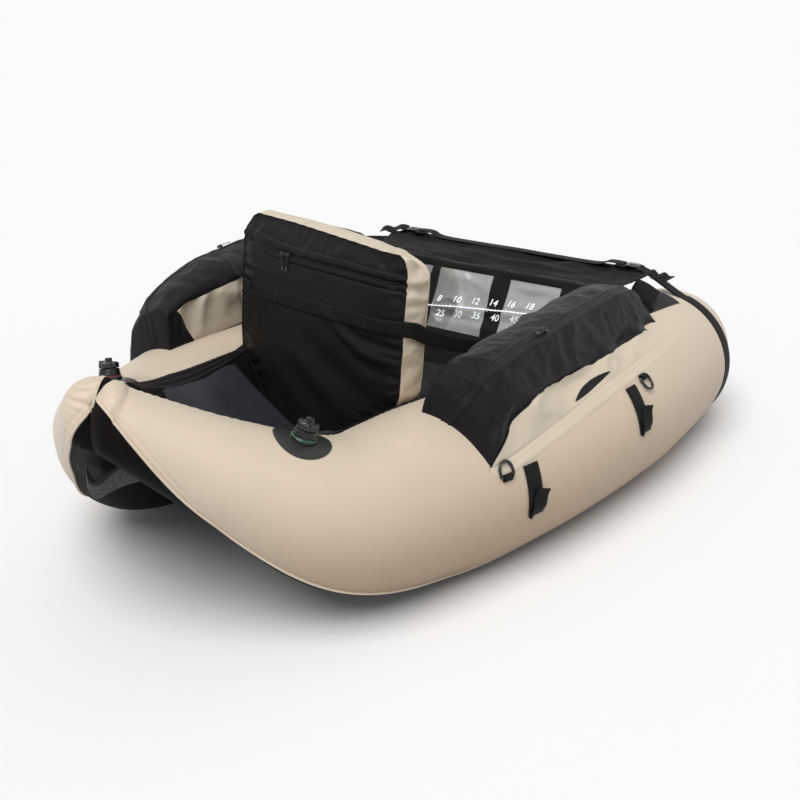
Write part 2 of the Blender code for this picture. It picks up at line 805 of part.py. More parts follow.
def backrest_outline():
    half = BACK_WIDTH / 2
    outline = [(half * wide, BACK_HEIGHT * high) for high, wide in BACK_OUTLINE_SHARES]
    outline += [(0.0, BACK_HEIGHT)]
    outline += [(-half * wide, BACK_HEIGHT * high) for high, wide in reversed(BACK_OUTLINE_SHARES)]
    return outline


def backrest_frame():
    """Local X across, local Y up the backrest, local Z to the bow; its foot stands on the sling."""
    upright = Matrix.Rotation(math.radians(90), 4, "X")
    lean = Matrix.Rotation(math.radians(-BACK_LEAN_DEGREES), 4, "X")
    yaw = Matrix.Rotation(math.radians(-BACK_YAW_DEGREES), 4, "Z")
    turn = yaw @ lean @ upright
    trial = cushion(backrest_outline(), BACK_THICKNESS, BACK_CROWN, turn)
    foot = min(vert.co.z for vert in trial.verts)
    trial.free()
    return Matrix.Translation((0, BACK_STATION, SLING_HEIGHT + GAP - foot)) @ turn


def backrest(materials, black, plastic):
    outline = backrest_outline()
    frame = backrest_frame()
    slot = ((CUSHION_SLOT, BACK_CROWN * 2, CUSHION_SLOT_WIDTH), Matrix.Translation((0, 0, 0)))
    skin = padded_pair("backrest", outline, BACK_THICKNESS, BACK_CROWN, frame, slot, materials)
    for name, high, wide, reach, thick in (
            ("backrest_zip", BACK_ZIP_HEIGHT, BACK_ZIP_WIDTH, BACK_ZIP_REACH, ZIP_THICKNESS),
            ("backrest_band", BACK_BAND_HEIGHT, WEBBING_WIDTH, BACK_BAND_REACH, WEBBING)):
        face_strip(name, high, wide, reach, thick, frame, outline, black, skin)
    below, above = [face_height(outline, BACK_SLIDER_OFFSET, BACK_ZIP_HEIGHT + edge * BACK_ZIP_WIDTH / 2)
                    for edge in (-1, 1)]
    tilt = Matrix.Rotation(math.atan2(above - below, BACK_ZIP_WIDTH), 4, "X")
    seat_level = (below + above) / 2 + ZIP_THICKNESS + GAP
    spot = frame @ Matrix.Translation((BACK_SLIDER_OFFSET, BACK_ZIP_HEIGHT, seat_level)) @ tilt
    slider("backrest_slider", spot @ Matrix.Translation((0, 0, SLIDER_HEIGHT / 2)), plastic)
    return frame


def face_height(outline, x, y):
    return swell(outline_share(outline, (x, y)), BACK_THICKNESS / 2, BACK_CROWN)


def face_strip(name, high, wide, reach, thick, frame, outline, material, skin):
    """A strip across the backrest's face, bedded on it along both its edges."""
    rows = []
    steps = 10
    for step in range(steps + 1):
        x = (2 * step / steps - 1) * reach
        row = []
        for edge in (-1, 1):
            y = high + edge * wide / 2
            top = face_height(outline, x, y) + thick
            row.append((frame @ Vector((x, y, top - BACK_CROWN)), frame @ Vector((x, y, top))))
        rows.append([row[0][0], row[1][0], row[1][1], row[0][1]])
    cut(add(name, thin_strip(rows), material), skin)


def slider(name, spot, plastic, side=1):
    """A zip slider with its pull hanging down its local Y."""
    bm = box((SLIDER_LENGTH, SLIDER_WIDTH, SLIDER_HEIGHT), spot, SLIDER_HEIGHT / 6)
    hang = spot @ Matrix.Translation((0, -PULL_LENGTH / 2, SLIDER_HEIGHT / 2 - PULL_THICKNESS / 2))
    pull = box((PULL_WIDTH, PULL_LENGTH, PULL_THICKNESS), hang, PULL_THICKNESS / 5)
    slider_object = add(name, bm, plastic, side, smooth=False)
    guide = as_guide(add(f"guide_{name}_pull", pull, plastic, side, smooth=False))
    cut(slider_object, guide, "UNION")


def side_straps(frame, black):
    """Webbing from each side of the backrest to the inner wall of the pocket beside it."""
    for word, side in SIDES:
        crease, rise, _ = SWELL_SHARES[-2]
        share = 1.0 - (1.0 - crease) * STRAP_START / (rise * BACK_THICKNESS / 2)
        spot = frame @ Vector((side * share * BACK_WIDTH / 2, BACK_BAND_HEIGHT, STRAP_START))
        start = Vector((side * spot.x + WEBBING / 2 + STRAP_CLEARANCE, spot.y, spot.z))
        end = Vector((pocket_wall() - PANEL_THICKNESS - WEBBING / 2 - 2 * GAP, STRAP_STERN,
                      STRAP_STERN_HEIGHT))
        path = []
        across = []
        for step in range(9):
            share = step / 8
            point = start.lerp(end, share)
            point.z -= STRAP_SAG * 4 * share * (1 - share)
            path.append(point)
            across.append(Vector((0, 0, 1)))
        add(f"side_strap_{word}", ribbon(path, across, WEBBING_WIDTH, WEBBING), black, side)


def pocket_wall():
    return POCKET_SECTION[0][0]


def pocket_rows(rise):
    """The pocket's corners, bow to stern, from the foot of its inner wall to its outer seam."""
    rows = []
    last = len(POCKET_SEAM_DEGREES) - 1
    for along, fill in POCKET_FILL_SHARES:
        y = POCKET_BOW + along * POCKET_LENGTH
        t = station_near(y)
        corners = []
        centre, _, radius, _, _ = section_at(t)
        for (across, level), rise_share in zip(POCKET_SECTION, POCKET_RISE_SHARES):
            high = level + rise * rise_share
            x = min(across, centre.x + radius * POCKET_OVERHANG_SHARE)
            low = crest_height(x, y) - POCKET_BEDDING
            corners.append(Vector((x, y, low + fill * (high - low))))
        seam = through([(angle,) for angle in POCKET_SEAM_DEGREES], along * last)[0]
        edge = hull_point(station_through(y, seam), seam, POCKET_BEDDING / 2)
        corners.append(Vector((edge.x, y, edge.z)))
        rows.append(corners)
    return rows


def pockets(cutters, black, cloth, plastic):
    for (word, side), rise in zip(SIDES, POCKET_RISES):
        rows = pocket_rows(rise)
        rings = [[Vector((POCKET_INNER_FOOT, corners[0].y, POCKET_FOOT)), *corners,
                  Vector((POCKET_OUTER_FOOT, corners[0].y, POCKET_FOOT))] for corners in rows]
        body = cut(add(f"pocket_body_{word}", tube_of_rows(rings), black, side), cutters[side])
        hollow_pocket(word, side, body, rings, rows, black)
        flap = facet_strip(rows, 5, 6, (0.02, 1.0), 1, 8, PANEL_THICKNESS)
        cut(add(f"pocket_side_{word}", flap, cloth, side), cutters[side])
        tape = facet_strip(rows, 3, 4, (0.04, 0.96), 1, 9, ZIP_THICKNESS)
        add(f"pocket_zip_{word}", tape, black, side)
        low, high = rows[5][3], rows[5][4]
        across = (high - low).normalized()
        normal = Vector((0, -1, 0)).cross(across).normalized()
        middle = (low + high) / 2 + normal * (3 * GAP + ZIP_THICKNESS + SLIDER_HEIGHT / 2)
        middle.y = POCKET_SLIDER_STATION
        turn = Matrix((across, -across.cross(normal), normal)).transposed().to_4x4()
        slider(f"pocket_slider_{word}", Matrix.Translation(middle) @ turn, plastic, side)


def hollow_pocket(word, side, body, rings, rows, material):
    """Empties a pocket down to its wall, and opens the slit that its zip closes."""
    inner = []
    for ring in rings[1:-1]:
        middle = sum(ring, Vector()) / len(ring)
        inner.append([point - (point - middle).normalized() * (2 * POCKET_WALL) for point in ring])
    inner[0] = [point + Vector((0, 2 * POCKET_WALL, 0)) for point in inner[0]]
    inner[-1] = [point - Vector((0, 2 * POCKET_WALL, 0)) for point in inner[-1]]
    floor = as_guide(add(f"guide_pocket_floor_{word}", hull_solid(-GAP - POCKET_WALL), material, side))
    hollow = as_guide(add(f"guide_pocket_hollow_{word}", tube_of_rows(inner), material, side))
    cut(hollow, floor)
    low, high = rows[5][3], rows[5][4]
    across = (high - low).normalized()
    normal = Vector((-across.z, 0.0, across.x))
    turn = Matrix((across, normal.cross(across), normal)).transposed().to_4x4()
    length = POCKET_LENGTH - 2 * POCKET_SLIT_END
    middle = (low + high) / 2
    middle.y = POCKET_BOW + POCKET_LENGTH / 2
    slit = box((POCKET_SLIT_WIDTH, length, 6 * POCKET_WALL), Matrix.Translation(middle) @ turn)
    cut(body, hollow)
    cut(body, as_guide(add(f"guide_pocket_slit_{word}", slit, material, side, smooth=False)))


def facet_strip(rows, first, second, shares, start, stop, thickness):
    """A strip that lies on one lengthwise facet of the pocket."""
    strip = []
    for index in range(start, stop + 1):
        low, high = rows[index][first], rows[index][second]
        across = (high - low).normalized()
        normal = Vector((-across.z, 0.0, across.x))
        near, far = low.lerp(high, shares[0]), low.lerp(high, shares[1])
        lift = normal * (2 * GAP)
        top = normal * (2 * GAP + thickness)
        strip.append([near + lift, far + lift, far + top, near + top])
    return thin_strip(strip)


def apron(cutters, black, clear_film):
    profile = ((APRON_STERN, APRON_STERN_HEIGHT), (APRON_MIDDLE, APRON_MIDDLE_HEIGHT),
               (APRON_FOLD, APRON_FOLD_HEIGHT), (APRON_HEM, APRON_HEM_HEIGHT))
    rows = [[Vector((share * APRON_HALF_WIDTH, y, z)) for share in (-1, -0.5, 0, 0.5, 1)]
            for y, z in profile]
    panel = sheet("apron_panel", rows, black, APRON_CLOTH, 1)
    panel.modifiers["wall"].offset = 0.0
    for side in (1, -1):
        cut(panel, cutters[side])
    fold = Vector((0, APRON_FOLD, APRON_FOLD_HEIGHT))
    hem = Vector((0, APRON_HEM, APRON_HEM_HEIGHT))
    down = (hem - fold).normalized()
    across = Vector((1, 0, 0))
    turn = Matrix((across, down, across.cross(down))).transposed().to_4x4()
    holes = bmesh.new()
    for place_share in (-1, 0, 1):
        middle = fold + down * (WINDOW_TOP_DROP + WINDOW_HEIGHT / 2)
        middle.x = place_share * WINDOW_PITCH
        width = WINDOW_WIDTH
        if place_share:
            width -= WINDOW_TOP_DROP
            middle.x -= place_share * WINDOW_TOP_DROP / 2
        join(holes, box((width, WINDOW_HEIGHT, OVERRUN), Matrix.Translation(middle) @ turn))
    cut(panel, as_guide(add("guide_window_holes", holes, black, smooth=False)))
    behind = turn @ Vector((0, 0, -(APRON_CLOTH + PANE_THICKNESS) / 2 - GAP))
    middle = fold + down * (WINDOW_TOP_DROP + WINDOW_HEIGHT / 2) + behind
    size = (2 * WINDOW_PITCH + WINDOW_WIDTH, WINDOW_HEIGHT + WINDOW_TOP_DROP, PANE_THICKNESS)
    film = add("apron_windows", box(size, Matrix.Translation(middle) @ turn), clear_film, smooth=False)
    for side in (1, -1):
        cut(film, cutters[side])


def wings(cutters, black):
    """A cloth wing on each side, from the apron's edge down on to the top of the tube."""
    for word, side in SIDES:
        rows = []
        for bow, stern, x in ((WING_BOW, WING_STERN, WING_INNER),
                              (WING_BOW, WING_STERN, (WING_INNER + WING_OUTER) / 2),
                              (WING_TIP_BOW, WING_TIP_STERN, WING_OUTER)):
            row = []
            for step in range(4):
                y = bow + (stern - bow) * step / 3
                row.append(Vector((x, y, crest_height(x, y) + PATCH_THICKNESS)))
            rows.append(row)
        wing = sheet(f"apron_wing_{word}", rows, black, PATCH_THICKNESS * 2, side)
        cut(wing, cutters[side])


def buckles(cutters, plastic, black):
    lie = APRON_STERN_HEIGHT + APRON_CLOTH / 2 + GAP + BUCKLE_HEIGHT / 2
    low = APRON_STERN_HEIGHT + APRON_CLOTH / 2 + GAP + WEBBING / 2
    high = lie + TONGUE_HEIGHT / 2 + GAP + WEBBING / 2
    end = BUCKLE_CENTRE - GAP
    bend = end - TONGUE_BASE - TONGUE_PULL - WEBBING
    half = [(end, high), (bend, high), (bend - BUCKLE_WIDTH, low)]
    line = [(-x, z) for x, z in half] + [(0.0, low)] + half[::-1]
    path = [Vector((x, BUCKLE_STATION, z)) for x, z in line]
    add("apron_strap", ribbon(path, [Vector((0, 1, 0))] * len(path), WEBBING_WIDTH, WEBBING), black)
    for word, side in SIDES:
        shell(word, side, lie, plastic)
        tongue(word, side, lie, plastic)
        stern_strap(word, side, lie, black, cutters[side])


def shell(word, side, lie, plastic):
    """The female half of a side-release buckle: a flat shell, open inboard and at both flanks."""
    middle = Matrix.Translation((BUCKLE_CENTRE + BUCKLE_SHELL_LENGTH / 2, BUCKLE_STATION, lie))
    bm = box((BUCKLE_SHELL_LENGTH, BUCKLE_WIDTH, BUCKLE_HEIGHT), middle, BUCKLE_WALL * 0.6)
    made = add(f"buckle_shell_{word}", bm, plastic, side, smooth=False)
    hollow = box((BUCKLE_SHELL_LENGTH, BUCKLE_WIDTH - 2 * BUCKLE_WALL, BUCKLE_HEIGHT - 2 * BUCKLE_WALL),
                 middle @ Matrix.Translation((-BUCKLE_WALL * 2, 0, 0)))
    window = box((BUCKLE_SHELL_LENGTH * 0.4, BUCKLE_WIDTH * 2, BUCKLE_HEIGHT - 2.4 * BUCKLE_WALL),
                 middle)
    cut(made, as_guide(add(f"guide_shell_hollow_{word}", hollow, plastic, side, smooth=False)))
    cut(made, as_guide(add(f"guide_shell_window_{word}", window, plastic, side, smooth=False)))


def tongue(word, side, lie, plastic):
    """The male half: a webbing bar, a guide prong and two spring prongs."""
    wide = BUCKLE_WIDTH - 2 * BUCKLE_WALL - 2 * BUCKLE_CLEARANCE
    base_middle = BUCKLE_CENTRE - TONGUE_BASE / 2 - GAP
    bm = box((TONGUE_BASE, BUCKLE_WIDTH, TONGUE_HEIGHT),
             Matrix.Translation((base_middle, BUCKLE_STATION, lie)), BUCKLE_WALL * 0.5)
    made = add(f"buckle_tongue_{word}", bm, plastic, side, smooth=False)
    slot = box((TONGUE_BASE - 2 * BUCKLE_BAR, BUCKLE_WIDTH - 2 * BUCKLE_BAR, OVERRUN),
               Matrix.Translation((base_middle, BUCKLE_STATION, lie)))
    prongs = bmesh.new()
    depth = TONGUE_DEPTH + BUCKLE_BAR
    for share in (-1, 0, 1):
        over = share * (wide - PRONG_WIDTH) / 2
        spot = Matrix.Translation((BUCKLE_CENTRE + TONGUE_DEPTH / 2 - BUCKLE_BAR / 2,
                                   BUCKLE_STATION + over, lie))
        join(prongs, box((depth, PRONG_WIDTH, TONGUE_THICKNESS), spot))
    cut(made, as_guide(add(f"guide_tongue_slot_{word}", slot, plastic, side, smooth=False)))
    cut(made, as_guide(add(f"guide_prongs_{word}", prongs, plastic, side, smooth=False)), "UNION")


def stern_strap(word, side, lie, black, cutter):
    """Webbing from the buckle shell over the stern of the tube, down to the outer seam."""
    t = station_near(BUCKLE_STATION)
    first = Vector((BUCKLE_CENTRE + BUCKLE_SHELL_LENGTH + WEBBING + GAP, BUCKLE_STATION, lie))
    path = [first]
    for angle in STERN_STRAP_ANGLES:
        path.append(hull_point(t, angle, -WEBBING * 1.6))
    across = [Vector((0, 1, 0))] * len(path)
    cut(add(f"stern_strap_{word}", ribbon(path, across, STERN_STRAP_WIDTH, WEBBING * 2), black, side),
        cutter)


def ring_spots():
    """Each ring's end of the craft and its place: X the way the ring lies, Y along its bar."""
    for end, station, angle, turn in zip(("bow", "stern"), RING_STATIONS, RING_ANGLES,
                                         RING_TURN_DEGREES):
        lie = Matrix.Rotation(math.radians(turn), 4, "Z")
        yield end, hull_frame(station_through(station, angle), angle) @ lie


def rings_and_tabs(cutters, metal, black):
    for word, side in SIDES:
        for end, spot in ring_spots():
            d_ring(f"d_ring_{end}_{word}", spot, metal, side)
            bm = box((TAB_LENGTH, TAB_WIDTH, TAB_THICKNESS * 2), spot, TAB_THICKNESS / 4)
            tab = add(f"ring_tab_{end}_{word}", bm, black, side, smooth=False)
            radius = RING_WIRE / 2 + 2 * GAP
            bore = turned(((radius, -OVERRUN), (radius, OVERRUN)), ring_axis(spot), 12)
            cut(tab, cutters[side])
            cut(tab, as_guide(add(f"guide_ring_bore_{end}_{word}", bore, black, side)))


def ring_axis(spot):
    """The line of the ring's straight bar: along the craft, just off the tube."""
    return spot @ Matrix.Translation((0, 0, TAB_THICKNESS / 2)) @ Matrix.Rotation(math.pi / 2, 4, "X")


def d_ring(name, spot, metal, side):
    """A D of wire: a straight bar through its tab and a bow that lies along the tube."""
    base = spot @ Matrix.Translation((0, 0, TAB_THICKNESS / 2))
    half = RING_WIDTH / 2
    loop = []
    for step in range(11):
        angle = math.pi * step / 10
        loop.append(Vector((RING_DROP * math.sin(angle) ** 0.8, half * math.cos(angle), 0)))
    rows = []
    count = len(loop)
    for index, point in enumerate(loop):
        before, after = loop[(index - 1) % count], loop[(index + 1) % count]
        along = (after - before).normalized()
        out = Vector((along.y, -along.x, 0))
        wire = RING_WIRE / 2
        rows.append([base @ (point + out * (wire * math.cos(math.tau * turn / 6))
                             + Vector((0, 0, wire * math.sin(math.tau * turn / 6)))) for turn in range(6)])
    bm = bmesh.new()
    rings = [[bm.verts.new(point) for point in row] for row in rows]
    for lower, upper in zip(rings, rings[1:] + rings[:1]):
        band(bm, lower, upper, closed=True)
    add(name, bm, metal, side)


def rod_straps(cutters, black):
    """Straps that fold round a rod: at rest each lies down the side of its tube."""
    for word, side in SIDES:
        for end, station, angle in zip(("bow", "stern"), ROD_STATIONS, ROD_ANGLES):
            t = station_through(station, angle)
            lift = ROD_STRAP_THICKNESS / 2 - ROD_STRAP_BEDDING
            sweep = math.degrees(ROD_STRAP_LENGTH / section_at(t)[2])
            path = [hull_point(t, angle + sweep * step / 6, -lift) for step in range(7)]
            across = [hull_frame(t, angle).col[1].to_3d()] * len(path)
            bm = ribbon(path, across, ROD_STRAP_WIDTH, ROD_STRAP_THICKNESS)
            cut(add(f"rod_strap_{end}_{word}", bm, black, side), cutters[side])


def build():
    empty_scene()
    tan = finish("tan_cloth", (0.66, 0.56, 0.43), 0.62)
    black = finish("black_cloth", (0.022, 0.021, 0.022), 0.75)
    piping = finish("piping", (0.72, 0.62, 0.48), 0.6)
    rubber = finish("bladder_film", (0.30, 0.31, 0.33), 0.4)
    plastic = finish("black_plastic", (0.018, 0.018, 0.018), 0.35)
    patch = finish("patch_rubber", (0.03, 0.028, 0.028), 0.5)
    net = finish("drain_net", (0.055, 0.055, 0.057), 0.8)
    film = finish("clear_film", (0.60, 0.61, 0.60), 0.2)
    cutters = hull_pieces(tan, black, piping, rubber)
    for word, side in SIDES:
        valve(word, side, cutters[side], plastic, patch)
    bow_pieces(cutters, tan, net)
    deck_and_sling(cutters, black)
    seat((black, rubber))
    frame = backrest((black, rubber), black, plastic)
    side_straps(frame, black)
    pockets(cutters, black, tan, plastic)
    apron(cutters, black, film)
    wings(cutters, black)
    buckles(cutters, plastic, black)
    rings_and_tabs(cutters, plastic, black)
    rod_straps(cutters, black)


build()
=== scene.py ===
# %% [markdown]
# # Float tube
# A float tube is an open-sterned inflatable seat for one angler: two air tubes in a tan and black cover,
# tied together at a raised bow, with a seat slung between them. This script dresses the solids of the craft
# with cloth, air and stitching. X points to the sitter's right, Y to the open stern, and Z up.

# %% [markdown]
# ## The frame
# The solids and their joints come from the frame. Every piece made here but the side straps rides on one of
# its bodies, so the backrest folds and the rings swing with what is sewn to them. The craft is alike on both
# sides, so a right-hand form is made once and mirrored for the left.

# %% Frame
import math
from functools import partial

import bmesh
import bpy
import numpy as np
from mathutils import Matrix, Vector, noise


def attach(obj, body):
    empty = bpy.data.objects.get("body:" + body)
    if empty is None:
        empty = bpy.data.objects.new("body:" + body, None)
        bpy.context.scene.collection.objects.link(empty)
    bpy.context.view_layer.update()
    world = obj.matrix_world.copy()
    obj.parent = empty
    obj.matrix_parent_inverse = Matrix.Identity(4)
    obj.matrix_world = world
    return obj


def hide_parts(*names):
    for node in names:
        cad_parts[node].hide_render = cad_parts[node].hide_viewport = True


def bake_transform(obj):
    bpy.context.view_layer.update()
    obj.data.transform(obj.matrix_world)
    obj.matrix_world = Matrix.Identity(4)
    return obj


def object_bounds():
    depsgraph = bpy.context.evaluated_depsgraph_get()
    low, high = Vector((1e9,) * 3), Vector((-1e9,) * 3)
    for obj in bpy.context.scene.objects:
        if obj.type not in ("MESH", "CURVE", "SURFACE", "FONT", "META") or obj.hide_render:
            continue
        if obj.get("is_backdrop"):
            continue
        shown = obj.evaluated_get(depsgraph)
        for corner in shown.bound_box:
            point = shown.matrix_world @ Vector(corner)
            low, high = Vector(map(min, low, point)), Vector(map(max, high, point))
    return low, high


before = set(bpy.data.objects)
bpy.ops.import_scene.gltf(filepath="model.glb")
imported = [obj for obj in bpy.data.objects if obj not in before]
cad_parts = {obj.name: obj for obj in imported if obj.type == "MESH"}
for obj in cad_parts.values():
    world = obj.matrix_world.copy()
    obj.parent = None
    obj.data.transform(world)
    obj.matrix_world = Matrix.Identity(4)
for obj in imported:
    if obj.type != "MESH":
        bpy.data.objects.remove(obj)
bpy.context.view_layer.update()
scene = bpy.context.scene
SIDES = (("right", 1.0), ("left", -1.0))

# %% [markdown]
# ## Finishes
# The craft is nearly all cloth: satin coated tan on the tubes, matt black on the pockets and seat. A finish
# could be painted on, but a pattern worked out from the place on the piece needs no picture and never
# stretches. The maths of such a pattern reads best as plain expressions, so one small class wraps a socket
# of a shader: each operator on it adds its Math node, and every other node comes from one method.

# %% Shader maths
class Value:
    """An output of a shader node that works like a number."""

    def __init__(self, tree, socket=None):
        self.tree, self.socket = tree, socket

    def node(self, kind, settings=None, links=None, out=0):
        """Another node: its settings first, then the values or links of its sockets."""
        made = self.tree.nodes.new(f"ShaderNode{kind}")
        for key, value in (settings or {}).items():
            setattr(made, key, value)
        for key, value in (links or {}).items():
            if isinstance(value, Value):
                self.tree.links.new(value.socket, made.inputs[key])
            else:
                made.inputs[key].default_value = value
        return Value(self.tree, made.outputs[out])

    def math(self, operation, first, second, clamp=False):
        return self.node("Math", {"operation": operation, "use_clamp": clamp}, {0: first, 1: second})

    def __add__(self, other):
        return self.math("ADD", self, other)

    def __sub__(self, other):
        return self.math("SUBTRACT", self, other)

    def __rsub__(self, other):
        return self.math("SUBTRACT", other, self)

    def __mul__(self, other):
        return self.math("MULTIPLY", self, other)

    def __truediv__(self, other):
        return self.math("DIVIDE", self, other)

    def __or__(self, other):
        return self.math("MAXIMUM", self, other)

    __radd__, __rmul__ = __add__, __mul__

    def clamped(self):
        return self.math("ADD", self, 0.0, clamp=True)

    def feed(self, socket):
        self.tree.links.new(self.socket, socket)


# %% [markdown]
# ### Tone and relief
# Real cloth is never one colour: it drifts a little between a darker and a lighter tone, and painted shade
# darkens the tubes' tan towards the ground. Its weave and its finest creases are too small to model, so a bump
# carries them.

# %% Tone and relief
WHITE = (1.0, 1.0, 1.0, 1.0)


def coat(name, colour, roughness, **settings):
    """A material of one shader: the material, a start for its nodes, and the shader's sockets."""
    made = bpy.data.materials.new(name)
    made.use_nodes = True
    inputs = made.node_tree.nodes["Principled BSDF"].inputs
    inputs["Base Color"].default_value = (*colour, 1.0)
    inputs["Roughness"].default_value = roughness
    for key, value in settings.items():
        socket = inputs[key.replace("_", " ").title().replace("Ior", "IOR")]
        socket.default_value = (*value, 1.0) if isinstance(value, tuple) else value
    return made, Value(made.node_tree), inputs


def grain(start, scale, detail=2.0, rough=0.5, stretch=(1, 1, 1)):
    """Noise in lumps of about 1 / scale metres, from 0 to 1."""
    place = start.node("TexCoord", out="Object")
    place = start.node("Mapping", links={"Vector": place, "Scale": stretch})
    links = {"Vector": place, "Scale": scale, "Detail": detail, "Roughness": rough}
    return start.node("TexNoise", links=links, out="Fac")


def bump(height, strength, distance, under=None):
    links = {"Height": height, "Strength": strength, "Distance": distance}
    if under is not None:
        links["Normal"] = under
    return height.node("Bump", links=links)


def mixed(start, share, first, second, blend="MIX"):
    """Two colours mixed by a share from 0 to 1."""
    settings = {"data_type": "RGBA", "blend_type": blend}
    return start.node("Mix", settings, {0: share, 6: first, 7: second}, out=2)


def drifting(start, colour, spread, scale):
    """A colour that drifts between a darker and a lighter tone."""
    darker = (*[part * (1 - spread) for part in colour], 1.0)
    lighter = (*[min(part * (1 + spread), 1.0) for part in colour], 1.0)
    return mixed(start, grain(start, scale, 4.0, 0.55), darker, lighter)


def painted_low_shade(start, colour, share, line):
    """A colour darkened by painted shade from a height down to the ground."""
    place = start.node("TexCoord", out="Object")
    part = (start.node("SeparateXYZ", links={0: place}, out="Z") / line).clamped()
    tint = mixed(start, part * part * (3 - 2 * part), (*share, 1.0), WHITE)
    return mixed(start, 1.0, colour, tint, "MULTIPLY")


# %% [markdown]
# ### Cloth and webbing
# Cloth has a weave and soft creases over it. Webbing has ribs across its length instead, so it reads the
# lengths that are laid along each strap as its UV map, and the ribs follow every bend.

# %% Cloth and webbing
# Height below which painted shade darkens a cloth towards the ground
PAINTED_SHADE_LINE = 0.34


def cloth(name, colour, roughness, spread=0.08, creases=(30.0, 0.35, 0.003), weave=(900.0, 0.2), deep=None,
          **settings):
    """Coated cloth: spread is how far its tone drifts, and deep what is left of it under the painted shade at
    the ground.
    """
    made, start, inputs = coat(name, colour, roughness, **settings)
    tone = drifting(start, colour, spread, 14.0)
    # Painted shade: the tone darkens towards the ground
    if deep is not None:
        tone = painted_low_shade(start, tone, deep, PAINTED_SHADE_LINE)
    tone.feed(inputs["Base Color"])
    scale, strength, distance = creases
    fine = bump(grain(start, weave[0], 1.0), weave[1], 0.0004)
    bump(grain(start, scale, 3.0, 0.6), strength, distance, fine).feed(inputs["Normal"])
    return made


def ribbed(name, colour, roughness, pitch, strength, **settings):
    """Webbing with a rib across it at every pitch."""
    made, start, inputs = coat(name, colour, roughness, **settings)
    drifting(start, colour, 0.15, 60.0).feed(inputs["Base Color"])
    links = {"Vector": start.node("TexCoord", out="UV"), "Scale": 0.314 / pitch, "Distortion": 0.4}
    ribs = start.node("TexWave", {"bands_direction": "Y"}, links, out="Fac")
    bump(ribs, strength, 0.0008).feed(inputs["Normal"])
    return made


# %% [markdown]
# ### The craft's own finishes
# Two tans: smooth on the air-filled tubes, softer on the loose pocket panels. The blacks differ in how much
# light they throw back: the tube panels least, the cargo deck most and a little blue.

# %% The craft's own finishes
TAN = (0.572, 0.481, 0.374)
# The tubes' tan gets painted shade that darkens it towards the ground
tan = cloth("tan_cloth", TAN, 0.50, 0.035, (9.0, 0.25, 0.004), (1500.0, 0.10),
            deep=(0.50, 0.38, 0.26), sheen_weight=0.10)
tan_soft = cloth("tan_gusset", (0.570, 0.490, 0.385), 0.58, 0.05, (34.0, 0.45, 0.004), (900.0, 0.15))
piping_cloth = cloth("piping_cloth", (0.590, 0.500, 0.390), 0.55, 0.04)
panel = cloth("panel_cloth", (0.0062, 0.0050, 0.0042), 0.60, 0.15, (9.0, 0.30, 0.004), (1200.0, 0.15),
              specular_ior_level=0.04)
black = cloth("black_cloth", (0.0112, 0.0097, 0.0114), 0.46, 0.12, (24.0, 0.50, 0.004), (800.0, 0.25),
              specular_ior_level=0.085)
face_black = cloth("face_cloth", (0.0080, 0.0070, 0.0068), 0.48, 0.12, (16.0, 0.20, 0.004),
                   (900.0, 0.25), specular_ior_level=0.105)
deck_cloth = cloth("deck_cloth", (0.0235, 0.0240, 0.0300), 0.45, 0.10, (12.0, 0.30, 0.004),
                   (700.0, 0.30), specular_ior_level=0.20)
apron_cloth = cloth("apron_cloth", (0.0160, 0.0140, 0.0135), 0.58, 0.10, (26.0, 0.35, 0.004), (900.0, 0.25),
                    specular_ior_level=0.04)
webbing = ribbed("webbing", (0.0075, 0.0070, 0.0070), 0.60, 0.0040, 0.55, specular_ior_level=0.12)
tape = ribbed("zip_tape", (0.0075, 0.0070, 0.0075), 0.45, 0.0022, 0.45, specular_ior_level=0.15)
plastic = cloth("black_plastic", (0.0060, 0.0060, 0.0060), 0.20, 0.1, (60.0, 0.05, 0.001), (400.0, 0.03))
rubber = cloth("patch_rubber", (0.0170, 0.0180, 0.0160), 0.42, 0.08, (30.0, 0.10, 0.002), (900.0, 0.15),
               specular_ior_level=0.35)
thread = coat("stitching", (0.050, 0.047, 0.045), 0.6, specular_ior_level=0.2)[0]
green = coat("green_mark", (0.02, 0.16, 0.06), 0.35)[0]
red = coat("red_mark", (0.30, 0.02, 0.02), 0.35)[0]
# The print glows faintly: painted light that keeps it bright on the film
glowing_print = coat("ruler_print", (0.88, 0.92, 0.93), 0.5, emission_color=(0.9, 0.95, 1.0),
                   emission_strength=0.25)[0]
print("the tubes' tan is", TAN)

# %% [markdown]
# ### Film and net
# The apron's windows are clear film that has gone milky and creased. The drain net has thousands of holes,
# far too many to cut, so its grain opens and closes the cloth instead.

# %% Film and net
MILKY = (0.245, 0.250, 0.240)
film, start, inputs = coat("window_film", MILKY, 0.20, alpha=0.84)
drifting(start, MILKY, 0.40, 12.0).feed(inputs["Base Color"])
bump(grain(start, 26.0, 3.0, 0.55, (1.0, 1.0, 0.6)), 0.6, 0.006).feed(inputs["Normal"])

net, start, inputs = coat("drain_net", (0.045, 0.045, 0.048), 0.7)
threads = ((grain(start, 420.0, 1.0) - 0.30) / 0.30).clamped()
(0.40 + 0.52 * threads).feed(inputs["Alpha"])
print(len(bpy.data.materials), "finishes")

# %% [markdown]
# ## From points to cloth
# Air-filled and sewn cloth has no flat faces, and no single operator gives its creases. It could be sculpted
# by hand, but here each sheet is a grid of points that is worked out from a few measured lines, so it can be
# made again at any fineness. The real lengths across and along the grid become its UV map, and the thickness
# of the cloth is left to a Solidify modifier.

